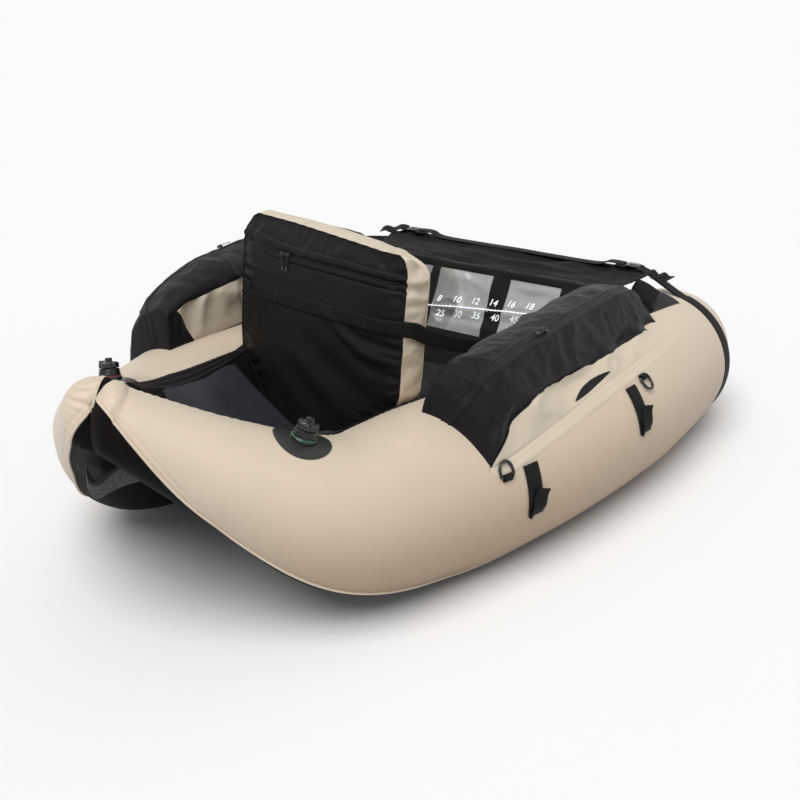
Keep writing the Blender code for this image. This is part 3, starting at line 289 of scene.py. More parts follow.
# %% A piece from its points
def build(name, verts, faces, materials, slots=None, uv=None, sharp=45):
    """A piece from its points and faces, smooth but for sharp edges."""
    mesh = bpy.data.meshes.new(name)
    mesh.from_pydata([tuple(vert) for vert in verts], [], faces)
    for material in materials:
        mesh.materials.append(material)
    if slots is not None:
        mesh.polygons.foreach_set("material_index", slots)
    if uv is not None:
        layer = mesh.uv_layers.new(name="UVMap")
        spots = np.zeros(len(mesh.loops), dtype=np.int64)
        mesh.loops.foreach_get("vertex_index", spots)
        layer.data.foreach_set("uv", np.asarray(uv, dtype=np.float32)[spots].ravel())
    mesh.shade_smooth()
    mesh.set_sharp_from_angle(angle=math.radians(sharp))
    thing = bpy.data.objects.new(name, mesh)
    scene.collection.objects.link(thing)
    return thing


# %% A sheet from a grid of points
def lengths(grid):
    """UV of a grid of points: the real lengths across and along it."""
    across = np.linalg.norm(np.diff(grid, axis=1), axis=2).mean(axis=0)
    along = np.linalg.norm(np.diff(grid, axis=0), axis=2).mean(axis=1)
    u = np.concatenate([[0.0], np.cumsum(across)])
    v = np.concatenate([[0.0], np.cumsum(along)])
    return np.stack(np.meshgrid(u, v), axis=2).reshape(-1, 2)


def grid_faces(rows, cols, wrap=False, flip=False, keep=None):
    """The faces between the rows and columns of a grid; keep says which are there."""
    faces = []
    for row in range(rows - 1):
        for col in range(cols if wrap else cols - 1):
            if keep is None or keep[row, col]:
                after = (col + 1) % cols
                quad = (row * cols + col, row * cols + after,
                        (row + 1) * cols + after, (row + 1) * cols + col)
                faces.append(quad[::-1] if flip else quad)
    return faces


def surface(name, grid, material, wrap=False, flip=False, caps=False, keep=None, wall=0.0, sharp=45,
            offset=-1.0):
    """A piece of cloth from a grid of points; wall is its thickness."""
    rows, cols = grid.shape[:2]
    faces = grid_faces(rows, cols, wrap, flip, keep)
    if caps:
        faces.append(tuple(range(cols))[::1 if flip else -1])
        faces.append(tuple(range((rows - 1) * cols, rows * cols))[::-1 if flip else 1])
    thing = build(name, grid.reshape(-1, 3), faces, [material], uv=lengths(grid), sharp=sharp)
    if wall:
        solid = thing.modifiers.new("wall", "SOLIDIFY")
        solid.thickness = wall
        solid.offset = offset
    return thing


# %% Folds and waves
def normals(grid, wrap=False):
    """The way outwards at each point of a grid."""
    along = np.gradient(grid, axis=0)
    if wrap:
        across = (np.roll(grid, -1, axis=1) - np.roll(grid, 1, axis=1)) / 2
    else:
        across = np.gradient(grid, axis=1)
    out = np.cross(across, along)
    size = np.linalg.norm(out, axis=2, keepdims=True)
    return out / np.maximum(size, 1e-12)


def fuzz(points, scale, seed=0.0, octaves=2, stretch=(1.0, 1.0, 1.0)):
    """Smooth noise from -1 to 1 at points, in lumps of about 1 / scale metres."""
    flat = np.asarray(points).reshape(-1, 3) * (np.array(stretch) * scale) + (seed * 7.31, seed * 3.17, 5.0)
    values = [noise.fractal(spot, 0.7, 2.1, octaves) for spot in flat.tolist()]
    return np.array(values).reshape(np.asarray(points).shape[:-1])


def creased(points, scale, seed=0.0, octaves=2, stretch=(1.0, 1.0, 1.0)):
    """Noise with sharp crests, like crumpled cloth, from about -1 to 1."""
    return 1.0 - 3.2 * np.abs(fuzz(points, scale, seed, octaves, stretch))


def smoothstep(value, low, high):
    """A share that eases from 0 at low to 1 at high."""
    share = np.clip((value - low) / (high - low), 0.0, 1.0)
    return share * share * (3 - 2 * share)


def crease(x, y, line, width, height):
    """A soft ridge along a line of spots, fading towards both its ends."""
    line = np.array(line, dtype=float)
    steps = np.linalg.norm(np.diff(line, axis=0), axis=1)
    total = steps.sum()
    best = np.full(x.shape, 1e9)
    place = np.zeros(x.shape)
    run = 0.0
    for start, end, length in zip(line, line[1:], steps):
        way = end - start
        share = np.clip(((x - start[0]) * way[0] + (y - start[1]) * way[1]) / length ** 2, 0, 1)
        gap = np.hypot(x - start[0] - share * way[0], y - start[1] - share * way[1])
        nearer = gap < best
        best = np.where(nearer, gap, best)
        place = np.where(nearer, (run + share * length) / total, place)
        run += length
    return height * np.exp(-(best / width) ** 2) * np.sin(np.pi * np.clip(place, 0.02, 0.98)) ** 0.6


# %% [markdown]
# ### Cords and straps
# Piping, coils and stitches are round and follow the cloth, and webbing is flat with rounded edges. A curve
# object with a bevel would do, but a strap has to lie flat on what carries it, so each is swept here along
# its path, with its width's direction given.

# %% A smooth curve, and a cord along it
def curve_through(points, count):
    """A smooth curve through points, at even steps along it."""
    points = np.array(points, dtype=float)
    spans = len(points) - 1
    spots = []
    for value in np.linspace(0, spans, spans * 24 + 1):
        index = min(int(value), spans - 1)
        share = value - index
        a, b, c, d = (points[min(max(index + step, 0), spans)] for step in (-1, 0, 1, 2))
        spots.append(b + share * ((c - a) / 2 + share * ((2 * a - 5 * b + 4 * c - d) / 2
                     + share * (3 * (b - c) + d - a) / 2)))
    spots = np.array(spots)
    run = np.concatenate([[0.0], np.cumsum(np.linalg.norm(np.diff(spots, axis=0), axis=1))])
    even = np.linspace(0, run[-1], count)
    return np.stack([np.interp(even, run, spots[:, axis]) for axis in range(points.shape[1])], axis=1)


def rod(name, path, radius, material, sides=10, closed=False, flip=False, radii=None):
    """A round rod or cord along a path, with rounded ends."""
    path = np.asarray(path, dtype=float)
    if closed:
        along = np.roll(path, -1, axis=0) - np.roll(path, 1, axis=0)
    else:
        along = np.gradient(path, axis=0)
    along /= np.linalg.norm(along, axis=1, keepdims=True)
    side = np.cross(along[0], (0.3, 0.2, 1.0))
    side /= np.linalg.norm(side)
    radii = np.full(len(path), radius) if radii is None else np.asarray(radii)
    rows = []
    for point, way, size in zip(path, along, radii):
        side = side - way * side.dot(way)
        side /= np.linalg.norm(side)
        up = np.cross(way, side)
        turn = np.linspace(0, math.tau, sides, endpoint=False)[:, None]
        rows.append(point + size * (side * np.cos(turn) + up * np.sin(turn)))
    if closed:
        rows.append(rows[0])
    return surface(name, np.array(rows), material, wrap=True, flip=not flip, caps=not closed)


# %% A strap
def strap(name, path, across, width, thickness, material, ends=True, waves=None):
    """Webbing along a path; across gives its width's direction at each point."""
    path = np.asarray(path, dtype=float)
    across = np.broadcast_to(np.asarray(across, dtype=float), path.shape)
    along = np.gradient(path, axis=0)
    along /= np.linalg.norm(along, axis=1, keepdims=True)
    across = across - along * np.sum(across * along, axis=1, keepdims=True)
    across /= np.linalg.norm(across, axis=1, keepdims=True)
    up = np.cross(across, along)
    width = np.broadcast_to(np.asarray(width, dtype=float), (len(path),))
    corner = thickness * 0.30
    rows = []
    for index in range(len(path)):
        half, thick = width[index] / 2, thickness / 2
        section = [(-half, -thick + corner), (-half + corner, -thick)]
        section += [(half * step / 4, -thick) for step in (-2, 0, 2)]
        section += [(half - corner, -thick), (half, -thick + corner), (half, thick - corner),
                    (half - corner, thick)]
        section += [(half * step / 4, thick) for step in (2, 0, -2)]
        section += [(-half + corner, thick), (-half, thick - corner)]
        rows.append([path[index] + across[index] * a + up[index] * b for a, b in section])
    return surface(name, np.array(rows), material, wrap=True, caps=ends, sharp=50)


# %% [markdown]
# ### Small moulded parts
# Sliders, caps and buckles are moulded in plastic, so every edge is a little round. A block is a cube whose
# edges are bevelled, and a round part is turned from its profile. The parts are then joined to one piece.

# %% Joined parts
def join(name, things):
    """Joins pieces into the first of them, modifiers applied, materials kept."""
    graph = bpy.context.evaluated_depsgraph_get()
    made = bmesh.new()
    materials = []
    for thing in things:
        mesh = bpy.data.meshes.new_from_object(thing.evaluated_get(graph))
        slots = []
        for material in mesh.materials:
            if material not in materials:
                materials.append(material)
            slots.append(materials.index(material))
        count = len(made.faces)
        made.from_mesh(mesh)
        made.faces.ensure_lookup_table()
        for face in made.faces[count:]:
            face.material_index = slots[face.material_index] if slots else 0
        bpy.data.meshes.remove(mesh)
    mesh = bpy.data.meshes.new(name)
    made.to_mesh(mesh)
    made.free()
    for material in materials:
        mesh.materials.append(material)
    for thing in things:
        bpy.data.objects.remove(thing, do_unlink=True)
    made = bpy.data.objects.new(name, mesh)
    scene.collection.objects.link(made)
    return made


# %% Blocks and turned parts
def piece_of(name, shape, material, sharp=None):
    """Turns a finished bmesh into a piece of the scene."""
    mesh = bpy.data.meshes.new(name)
    shape.to_mesh(mesh)
    shape.free()
    mesh.materials.append(material)
    mesh.shade_smooth()
    if sharp is not None:
        mesh.set_sharp_from_angle(angle=math.radians(sharp))
    thing = bpy.data.objects.new(name, mesh)
    scene.collection.objects.link(thing)
    return thing


def block(name, size, matrix, material, bevel=0.002, segments=3):
    """A block with rounded edges."""
    shape = bmesh.new()
    bmesh.ops.create_cube(shape, size=1.0)
    bmesh.ops.scale(shape, vec=size, verts=shape.verts)
    bmesh.ops.bevel(shape, geom=shape.edges[:], offset=bevel, segments=segments, profile=0.6,
                    affect="EDGES")
    bmesh.ops.transform(shape, matrix=matrix, verts=shape.verts)
    return piece_of(name, shape, material, 50)


def turned(name, profile, matrix, material, sides=48, lobes=0, depth=0.0, band=(0.0, 0.0)):
    """A profile spun round its own Z; lobes scallop the heights between the two of band."""
    shape = bmesh.new()
    spots = [shape.verts.new((radius, 0.0, height)) for radius, height in profile]
    edges = [shape.edges.new(pair) for pair in zip(spots, spots[1:])]
    bmesh.ops.spin(shape, geom=spots + edges, cent=(0, 0, 0), axis=(0, 0, 1), angle=math.tau, steps=sides,
                   use_merge=True)
    bmesh.ops.remove_doubles(shape, verts=shape.verts, dist=1e-6)
    for vert in shape.verts:
        if lobes and band[0] <= vert.co.z <= band[1]:
            grip = depth * (0.5 + 0.5 * math.cos(lobes * math.atan2(vert.co.y, vert.co.x)))
            vert.co.xy *= 1 - grip / vert.co.xy.length
    bmesh.ops.holes_fill(shape, edges=[edge for edge in shape.edges if edge.is_boundary], sides=0)
    bmesh.ops.recalc_face_normals(shape, faces=shape.faces[:])
    bmesh.ops.transform(shape, matrix=matrix, verts=shape.verts)
    return piece_of(name, shape, material, 35)


# %% Left from right
def mirror(points, side):
    """Points of the right-hand side, carried over to a side of the craft."""
    return np.asarray(points) * (side, 1.0, 1.0)


def mirrored(matrix, side):
    """A frame on the right-hand side, carried over to a side of the craft."""
    if side > 0:
        return matrix
    flip = Matrix.Diagonal((-1.0, 1.0, 1.0, 1.0))
    return flip @ matrix @ Matrix.Diagonal((1.0, -1.0, 1.0, 1.0))


# %% [markdown]
# ## The two tubes
# Each side of the craft is one long air tube: round in section, bent like a bow, thin where it is tied at the
# front and domed at the stern. It could be a curve with a bevel, but all that is sewn to it has to find its
# skin. So a few stations give the centre and radius, a smooth curve runs through them, and every piece asks
# the same function for its points.

# %% Stations of the tube
HALF_LENGTH = 0.850
GAP = 0.0003
PINCH = np.array([GAP, -0.812, 0.450])
STERN_DOME = 0.340
CENTRES = np.array([
    (-0.938, 0.043, 1.00, 0.341), (-0.798, 0.371, 0.567, 0.529), (-0.617, 0.624, 0.120, 0.824),
    (-0.383, 0.747, 0.0, 0.965), (-0.145, 0.884, 0.0, 0.988), (0.104, 0.969, 0.0, 0.994),
    (0.350, 1.012, 0.0, 1.0), (0.600, 0.985, 0.0, 1.035)]) * (HALF_LENGTH, 0.415, 0.245, 0.170)
# Angles of the tan panel's seams by station; the cloth is twisted at the tied bow
SEAMS = {"right": ((-1.0, 70), (-0.5, 66), (0.0, 65), (0.25, 81), (0.4, 94), (0.6, 112), (0.82, 131),
                   (1.12, 145), (1.5, 143), (2.0, 141), (3.0, 147), (4.0, 150), (8.0, 150)),
         "left": ((-1.0, 165), (-0.8, 155), (-0.58, 137), (-0.34, 132), (0.08, 128), (0.6, 131), (1.1, 140),
                  (2.0, 146), (3.0, 149), (4.0, 150), (8.0, 150))}
INNER_SEAMS = {"right": ((-1.0, 336), (1.0, 334), (2.2, 331), (3.3, 326), (8.0, 326)),
               "left": ((-1.0, 339), (2.2, 339), (2.7, 334), (3.3, 327), (8.0, 326))}
TAPE_LOW = 321.5
LAST = 7.0
PANEL_END = 7.62
MEETING_ANGLE = 241.0


def through(table, t):
    """A smooth curve through the rows of a table, at a place from its first row."""
    t = min(max(t, 0.0), len(table) - 1.0)
    index = min(int(t), len(table) - 2)
    share = t - index
    a, b, c, d = (table[min(max(index + step, 0), len(table) - 1)] for step in (-1, 0, 1, 2))
    return b + share * ((c - a) / 2 + share * ((2 * a - 5 * b + 4 * c - d) / 2
                        + share * (3 * (b - c) + d - a) / 2))


def centre_at(t):
    """Centre and radius of the right-hand tube at a station."""
    y, x, lift, radius = through(CENTRES, t)
    return np.array([x, y, 0.165 + lift]), radius


print("stations of the tube:", len(CENTRES))


# %% Sections and points on the skin
sections = {}


def section_at(t, depth=0.0):
    """The tube's section: centre, way along, radius, outward and up; both ends close in a dome."""
    key = (round(t, 5), round(depth, 5))
    if key in sections:
        return sections[key]
    station = min(max(t, 0.0), LAST)
    centre, radius = centre_at(station)
    along = centre_at(station + 0.05)[0] - centre_at(station - 0.05)[0]
    along /= np.linalg.norm(along)
    girth = radius - depth
    if t > LAST:
        turn = (t - LAST) * math.pi / 2
        centre = centre + along * ((STERN_DOME - depth) * math.sin(turn))
        girth *= math.cos(turn)
    if t < 0.0:
        turn = -t * math.pi / 2
        reach = PINCH - centre
        centre = centre + reach * (math.sin(turn) * (1.0 - depth / np.linalg.norm(reach)))
        girth *= math.cos(turn)
    outward = np.array([along[1], -along[0], 0.0])
    outward /= np.linalg.norm(outward)
    sections[key] = (centre, along, girth, outward, np.cross(outward, along))
    return sections[key]


def skin(t, degrees, out=0.0):
    """Points on the right-hand tube's skin, or out above it, at angles from its crest outwards."""
    centre, _, girth, outward, up = section_at(t, -out)
    turn = np.radians(np.atleast_1d(np.asarray(degrees, dtype=float)))[:, None]
    points = centre + girth * (up * np.cos(turn) + outward * np.sin(turn))
    points[:, 0] = np.maximum(points[:, 0], GAP)
    points[:, 2] = np.maximum(points[:, 2], 0.0005)
    return points


def spot_on(t, degrees, out=0.0):
    """One point on the skin, or out above it."""
    return skin(t, [degrees], out)[0]


# %% Stations from places
def station_where(y_at, y):
    """The station at which y_at reaches y, by halving."""
    low, high = 0.0, LAST + 1.0
    for _ in range(40):
        middle = (low + high) / 2
        low, high = (middle, high) if y_at(middle) < y else (low, middle)
    return low


def station_through(y, degrees):
    """The station whose skin passes through y at an angle."""
    return station_where(lambda t: spot_on(t, degrees)[1], y)


def station_near(y):
    """The station whose centre lies at y."""
    return station_where(lambda t: section_at(t)[0][1], y)


# %% Places on the skin
def skin_frame(t, degrees):
    """A place on the skin: X down the tube's side, Y to the stern, Z outwards."""
    point = Vector(spot_on(t, degrees))
    down = Vector(spot_on(t, degrees + 4) - spot_on(t, degrees - 4)).normalized()
    along = Vector(spot_on(t + 0.1, degrees) - spot_on(t - 0.1, degrees)).normalized()
    out = down.cross(along).normalized()
    along = out.cross(down)
    return Matrix.Translation(point) @ Matrix((down, along, out)).transposed().to_4x4()


def crest_height(x, y):
    """Height of the tube's upper side over a place."""
    centre, _, radius, _, _ = section_at(station_near(y))
    reach = min(abs(x - centre[0]), radius * 0.99)
    return centre[2] + math.sqrt(radius * radius - reach * reach)


# %% Seams between the panels
def closing_in(seam, t):
    """A seam's angle, drawn towards the point under the stern where both seams meet."""
    return seam + (MEETING_ANGLE - seam) * float(smoothstep(t, 7.15, PANEL_END)) ** 1.5


def outer_seam(t, word):
    """Angle of the seam between tan and black outside."""
    stops, angles = zip(*SEAMS[word])
    seam = float(np.mean([np.interp(t + step, stops, angles) for step in np.linspace(-0.12, 0.12, 7)]))
    return closing_in(seam, t)


def inner_seam(t, word):
    """Angle of the seam between black and tan inside."""
    return closing_in(float(np.interp(t, *zip(*INNER_SEAMS[word]))), t)


def tube_run(stops):
    """Length along the tube at each stop."""
    centres = np.array([section_at(t)[0] for t in stops])
    return np.concatenate([[0.0], np.cumsum(np.linalg.norm(np.diff(centres, axis=0), axis=1))])


# %% [markdown]
# ### Covers of the tubes
# The tan panel winds round the outside and the black one lies inside. Along a seam real cloth sinks into a
# groove and puckers, and at the tied bow it gathers in fine folds. A bump map would look flat from the side,
# so they are worked into the shape, a millimetre or so high.

# %% Relief of sewn cloth
BOW_STOPS = np.linspace(-1.0, 0.0, 34)[:-1]
BODY_STOPS = np.linspace(0.0, LAST, 196)
STERN_STOPS = LAST + np.linspace(0.0, 1.0, 46)[1:]


def hull_relief(grid, seam_gap, run, girth, seed):
    """How far sewn cloth stands off the plain tube: seam groove, puckers, gathers and slight waves."""
    groove = -0.0011 * np.exp(-((seam_gap - 0.012) / 0.0026) ** 2)
    lip = 0.0009 * np.exp(-((seam_gap - 0.005) / 0.004) ** 2)
    waver = fuzz(grid, 26.0, seed + 3, 1)
    pucker = 0.0006 * np.sin(run[:, None] * 420 + 5 * waver) * np.exp(-(seam_gap / 0.020) ** 2)
    waves = 0.0012 * fuzz(grid, 4.5, seed, 2)
    reach = np.linalg.norm(grid - PINCH, axis=2)
    turn = np.arctan2(grid[..., 2] - PINCH[2], grid[..., 0] + 0.10)
    folds = np.sin(turn * 34 + 4.0 * fuzz(grid, 9.0, seed + 8, 1))
    gather = (0.0015 if seed > 5 else 0.0009) * np.exp(-((reach - 0.030) / 0.020) ** 2) * folds
    gather *= smoothstep(fuzz(grid, 14.0, seed + 2, 1), -0.5, 0.4)
    fade = smoothstep(girth, 0.004, 0.05)[:, None]
    return (groove + lip + pucker + waves) * fade + gather * smoothstep(girth, 0.0, 0.02)[:, None]


# %% Covers
def hull_panel(name, stops, low, high, columns, material, side, seed):
    """One cover panel of a tube, between its low and high seam."""
    rows, gaps, girths = [], [], []
    for t in stops:
        edges = low(t), high(t)
        angles = np.linspace(*edges, columns)
        girth = section_at(t)[2]
        rows.append(skin(t, angles))
        near = np.minimum(angles - edges[0], edges[1] - angles)
        if t >= PANEL_END:
            near = np.full(columns, 90.0)
        gaps.append(np.radians(near) * girth)
        girths.append(girth)
    grid = np.array(rows)
    relief = hull_relief(mirror(grid, side), np.array(gaps), tube_run(stops), np.array(girths), seed)
    grid = grid + normals(grid) * relief[..., None]
    grid[..., 0] = np.maximum(grid[..., 0], GAP)
    grid[..., 2] = np.maximum(grid[..., 2], 0.0004)
    return surface(name, mirror(grid, side), material, flip=side < 0, sharp=80)


ALL_STOPS = np.concatenate([BOW_STOPS, BODY_STOPS, STERN_STOPS])
INNER_STOPS = ALL_STOPS[ALL_STOPS <= PANEL_END]
for word, side in SIDES:
    seed = 1.0 if side > 0 else 6.0
    seam = partial(outer_seam, word=word)
    inside = partial(inner_seam, word=word)
    cover = hull_panel(f"tan_panel_{word}", ALL_STOPS, lambda t: inside(t) - 360, seam, 84, tan, side, seed)
    under = hull_panel(f"black_panel_{word}", INNER_STOPS, seam, inside, 72, panel, side, seed + 20)
    for piece in (cover, under):
        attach(piece, "hull")
    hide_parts(f"outer_cover_{word}", f"main_bladder_{word}")
    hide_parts(f"inner_cover_{word}")
print("tube centre line:", round(float(tube_run(BODY_STOPS)[-1]), 3), "m between bow and stern domes")

# %% [markdown]
# ### Piping and access tapes
# A thin cord is sewn into the outer seam, and the zip tape through which the bladder goes in lies inside.

# %% Piping
for word, side in SIDES:
    stops = np.concatenate([np.linspace(-0.9, 0, 20)[:-1], np.linspace(0, 7.5, 190)])
    bead = np.array([spot_on(t, outer_seam(t, word), 0.0019) for t in stops])
    bead[:, 2] = np.maximum(bead[:, 2], 0.0032)
    radii = 0.0030 * smoothstep(np.arange(len(stops)), -3, 8)
    cord = rod(f"piping_{word}", mirror(bead, side), 0.0030, piping_cloth, radii=radii, flip=side < 0)
    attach(cord, "hull")
    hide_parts(f"seam_piping_{word}")
    print(cord.name, "has", len(stops), "stops")

# %% Access tapes
for word, side in SIDES:
    rows = []
    ridges = np.linspace(0, 1, 26)
    for t in np.linspace(1.15, 4.15, 90):
        angles = TAPE_LOW + (inner_seam(t, word) - 0.5 - TAPE_LOW) * ridges
        lift = 0.0016 + 0.0018 * np.exp(-(((ridges * 3) % 1 - 0.5) / 0.16) ** 2)
        lift *= np.clip(np.minimum(ridges, 1 - ridges) * 14, 0.25, 1)
        rows.append([spot_on(t, angle, rise) for angle, rise in zip(angles, lift)])
    access = surface(f"access_tape_{word}", mirror(np.array(rows), side), black, flip=side < 0, sharp=60)
    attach(access, "hull")
    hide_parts(f"access_zip_{word}")
    print(access.name, "starts at", rows[0][0])


# %% [markdown]
# ## Valves
# A rubber patch on each front shoulder carries a ribbed valve with a screw cap, through which the tube is
# filled. These are turned parts, so each is a profile spun round its own axis, and only the cap's grip has
# hollows for the fingers. The patch follows the tube, so its rings of points are measured along the skin.

# %% Valve patches
VALVE_ANGLE = 3.0
VALVE_T = station_through(-0.587, VALVE_ANGLE)
PATCH_RADIUS = 0.053
PATCH_THICKNESS = 0.0016


def on_patch(t0, degrees, down, along, out):
    """A point at distances down and along the skin from a place on it."""
    step = np.linalg.norm(spot_on(t0 + 0.05, degrees) - spot_on(t0 - 0.05, degrees)) / 0.1
    t = t0 + along / step
    return spot_on(t, degrees + math.degrees(down / section_at(t)[2]), out)


for word, side in SIDES:
    rings = []
    for share, out in ((0.0, 0.0016), (0.3, 0.0016), (0.45, 0.0016), (0.6, 0.0016), (0.75, 0.0016),
                       (0.9, 0.0016), (0.97, 0.0015), (0.995, 0.0010), (1.0, -0.001)):
        radius = PATCH_RADIUS * share
        rings.append([on_patch(VALVE_T, VALVE_ANGLE, radius * math.cos(a), radius * math.sin(a), out)
                      for a in np.linspace(0, math.tau, 64, endpoint=False)])
    patch = surface(f"patch_{word}", mirror(np.array(rings), side), rubber, wrap=True, flip=side < 0)
    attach(patch, "hull")
    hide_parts(f"valve_patch_{word}")
    print(patch.name, "is", 2 * PATCH_RADIUS, "m across")

# %% Valve bodies
VALVE_PLACE = skin_frame(VALVE_T, VALVE_ANGLE) @ Matrix.Translation((0, 0, PATCH_THICKNESS))
lift = 0.0033 - PATCH_THICKNESS
COLLAR = ((0.0, -0.001), (0.0232, -0.001), (0.0234, 0.0018), (0.0228, 0.0032), (0.0216, 0.0040),
          (0.0206, 0.0048), (0.0202, 0.0056), (0.0210, 0.0064), (0.0210, 0.0086), (0.0196, 0.0094),
          (0.0192, 0.0106), (0.0204, 0.0116), (0.0204, 0.0140), (0.0190, 0.0148), (0.0186, 0.0158),
          (0.0196, 0.0168), (0.0194, 0.0186), (0.0180, 0.0196), (0.0142, 0.0200), (0.0138, 0.0200),
          (0.0138, lift + 0.0260), (0.0, lift + 0.0260))
MARK = ((0.0200, 0.0034), (0.0222, 0.0036), (0.0225, 0.0046), (0.0217, 0.0052), (0.0200, 0.0050))
for word, side in SIDES:
    here = mirrored(VALVE_PLACE, side)
    body = turned(f"valve_{word}", COLLAR, here, plastic)
    mark = turned(f"valve_mark_{word}", MARK, here, green if side > 0 else red)
    body = join(f"valve_{word}", [body, mark])
    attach(body, "hull")
    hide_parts(f"valve_body_{word}")
    print(body.name, "stands at", here.translation)

# %% Valve caps
CAP_FOOT = lift + 0.0186
CAP = ((0.0143, 0.0072), (0.0145, 0.0002), (0.0172, 0.0002), (0.0188, 0.0010), (0.0190, 0.0020),
       (0.0190, 0.0056), (0.0190, 0.0086), (0.0180, 0.0104), (0.0150, 0.0118), (0.0108, 0.0124),
       (0.0078, 0.0130), (0.0066, 0.0140), (0.0068, 0.0172), (0.0062, 0.0192), (0.0040, 0.0199), (0.0, 0.0200))
for word, side in SIDES:
    here = mirrored(VALVE_PLACE, side) @ Matrix.Translation((0, 0, CAP_FOOT))
    cap = turned(f"cap_{word}", CAP, here, plastic, 96, 9, 0.0024, (0.0018, 0.0105))
    lug_place = here @ Matrix.Translation((0.0125, 0.0, 0.0125))
    lug = block(f"lug_{word}", (0.011, 0.0036, 0.0050), lug_place, plastic, 0.0012)
    cap = join(f"cap_{word}", [cap, lug])
    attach(cap, f"valve_cap_{word}")
    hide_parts(f"valve_cap_{word}")
    print(cap.name, "has", len(cap.data.polygons), "faces")


# %% [markdown]
# ## Bow knot and drain net
# The cloth of both tubes is gathered and tied at the bow, and a net below it lets the water out. The knot is
# small and lumpy, so it starts as a round ball whose points are pushed in and out. The net is stretched
# through three lines: its hem, its foot and its back.

# %% Knot
def blob(name, radius, material, matrix, relief, cuts=5):
    """A small ball of gathered cloth."""
    shape = bmesh.new()
    bmesh.ops.create_icosphere(shape, subdivisions=cuts, radius=radius)
    for vert in shape.verts:
        vert.co += vert.normal * relief(vert.co)
    bmesh.ops.transform(shape, matrix=matrix, verts=shape.verts)
    return piece_of(name, shape, material)


def knot_relief(co):
    """Folds that run over the knot to its middle."""
    turn = math.atan2(co.x, co.y)
    return 0.0016 * math.sin(turn * 7 + co.z * 160) * (1 - abs(co.z) / 0.017) + 0.0012 * noise.noise(co * 90)


knot_place = Matrix.Translation((0.002, -0.8200, 0.4490)) @ Matrix.Diagonal((1.0, 0.9, 1.15, 1.0))
tuft_place = Matrix.Translation((0.005, -0.8240, 0.4385)) @ Matrix.Diagonal((1.0, 0.8, 1.3, 1.0))
knot = blob("tied_knot", 0.0090, tan_soft, knot_place, knot_relief)
tuft = blob("knot_tuft", 0.0060, tan_soft, tuft_place, knot_relief, 4)
knot = join("tied_knot", [knot, tuft])
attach(knot, "hull")
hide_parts("bow_knot")
print("knot:", len(knot.data.polygons), "faces")

# %% Drain net
NET_TOP = curve_through([(-0.074, -0.786, 0.318), (-0.052, -0.806, 0.286), (-0.020, -0.812, 0.292),
                         (0.014, -0.806, 0.322), (0.046, -0.786, 0.352)], 36)
NET_FOOT = curve_through([(-0.078, -0.772, 0.262), (-0.066, -0.792, 0.250), (-0.040, -0.798, 0.251),
                          (-0.004, -0.784, 0.280), (0.040, -0.764, 0.318)], 36)
NET_BACK = curve_through([(-0.088, -0.730, 0.285), (-0.045, -0.735, 0.272), (0.0, -0.735, 0.276),
                          (0.045, -0.735, 0.285), (0.088, -0.730, 0.300)], 36)
rows = []
for share in np.linspace(0, 1, 16):
    bulge = 0.006 * math.sin(math.pi * share)
    rows.append(NET_TOP * (1 - share) + NET_FOOT * share - (0, bulge, 0))
for share in np.linspace(0, 1, 12)[1:]:
    rows.append(NET_FOOT * (1 - share) + NET_BACK * share)
drain = surface("net", np.array(rows), net)
hem_path = np.array(rows)[0]
hem = strap("net_hem", hem_path[4:-4], (0, 0.2, 1.0), 0.006, 0.0018, webbing)
drain = join("net", [drain, hem])
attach(drain, "hull")
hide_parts("bow_drain_net")
print("net:", len(drain.data.polygons), "faces")


# %% [markdown]
# ## Deck and sling
# A cargo deck and a seat sling hang between the tubes. Their edges lie on the tubes and their middle sags, so
# a row of points is laid from tube to tube at each step. The deck's few creases are drawn where they are in
# sight: they run from the edges, where the cloth is pulled, towards the backrest.

# %% Sheets between the tubes
def between_tubes(name, rows, material, shape, relief, skew=0.0, wall=0.0015):
    """A sheet hung from tube to tube, from rows of y, middle height and edge height."""
    grid = []
    for y, middle, edge in rows:
        centre, _, radius, _, _ = section_at(station_near(y))
        inner = centre[0] - math.sqrt(max(radius ** 2 - (edge - centre[2]) ** 2, 0.0001))
        half = max(inner, 0.02) + 0.004
        across = np.linspace(-1, 1, 61)
        height = middle + (edge - middle) * shape(np.abs(across))
        grid.append(np.stack([across * half, y + skew * (y - rows[0][0]) * across * half, height], axis=1))
    grid = np.array(grid)
    grid[..., 2] += relief(grid)
    return surface(name, grid, material, wall=wall, sharp=80)


def deck_relief(grid):
    """Three drawn creases and a slight unevenness."""
    x, y = grid[..., 0], grid[..., 1]
    tuck = crease(x, y, [(0.20, -0.46), (0.13, -0.41), (0.05, -0.36)], 0.016, 0.012)
    tuck += crease(x, y, [(0.19, -0.50), (0.12, -0.47), (0.06, -0.42)], 0.012, 0.008)
    tuck += crease(x, y, [(-0.20, -0.40), (-0.10, -0.42), (0.0, -0.38)], 0.035, 0.005)
    return tuck + 0.003 * fuzz(grid, 9.0, 4.0, 2)


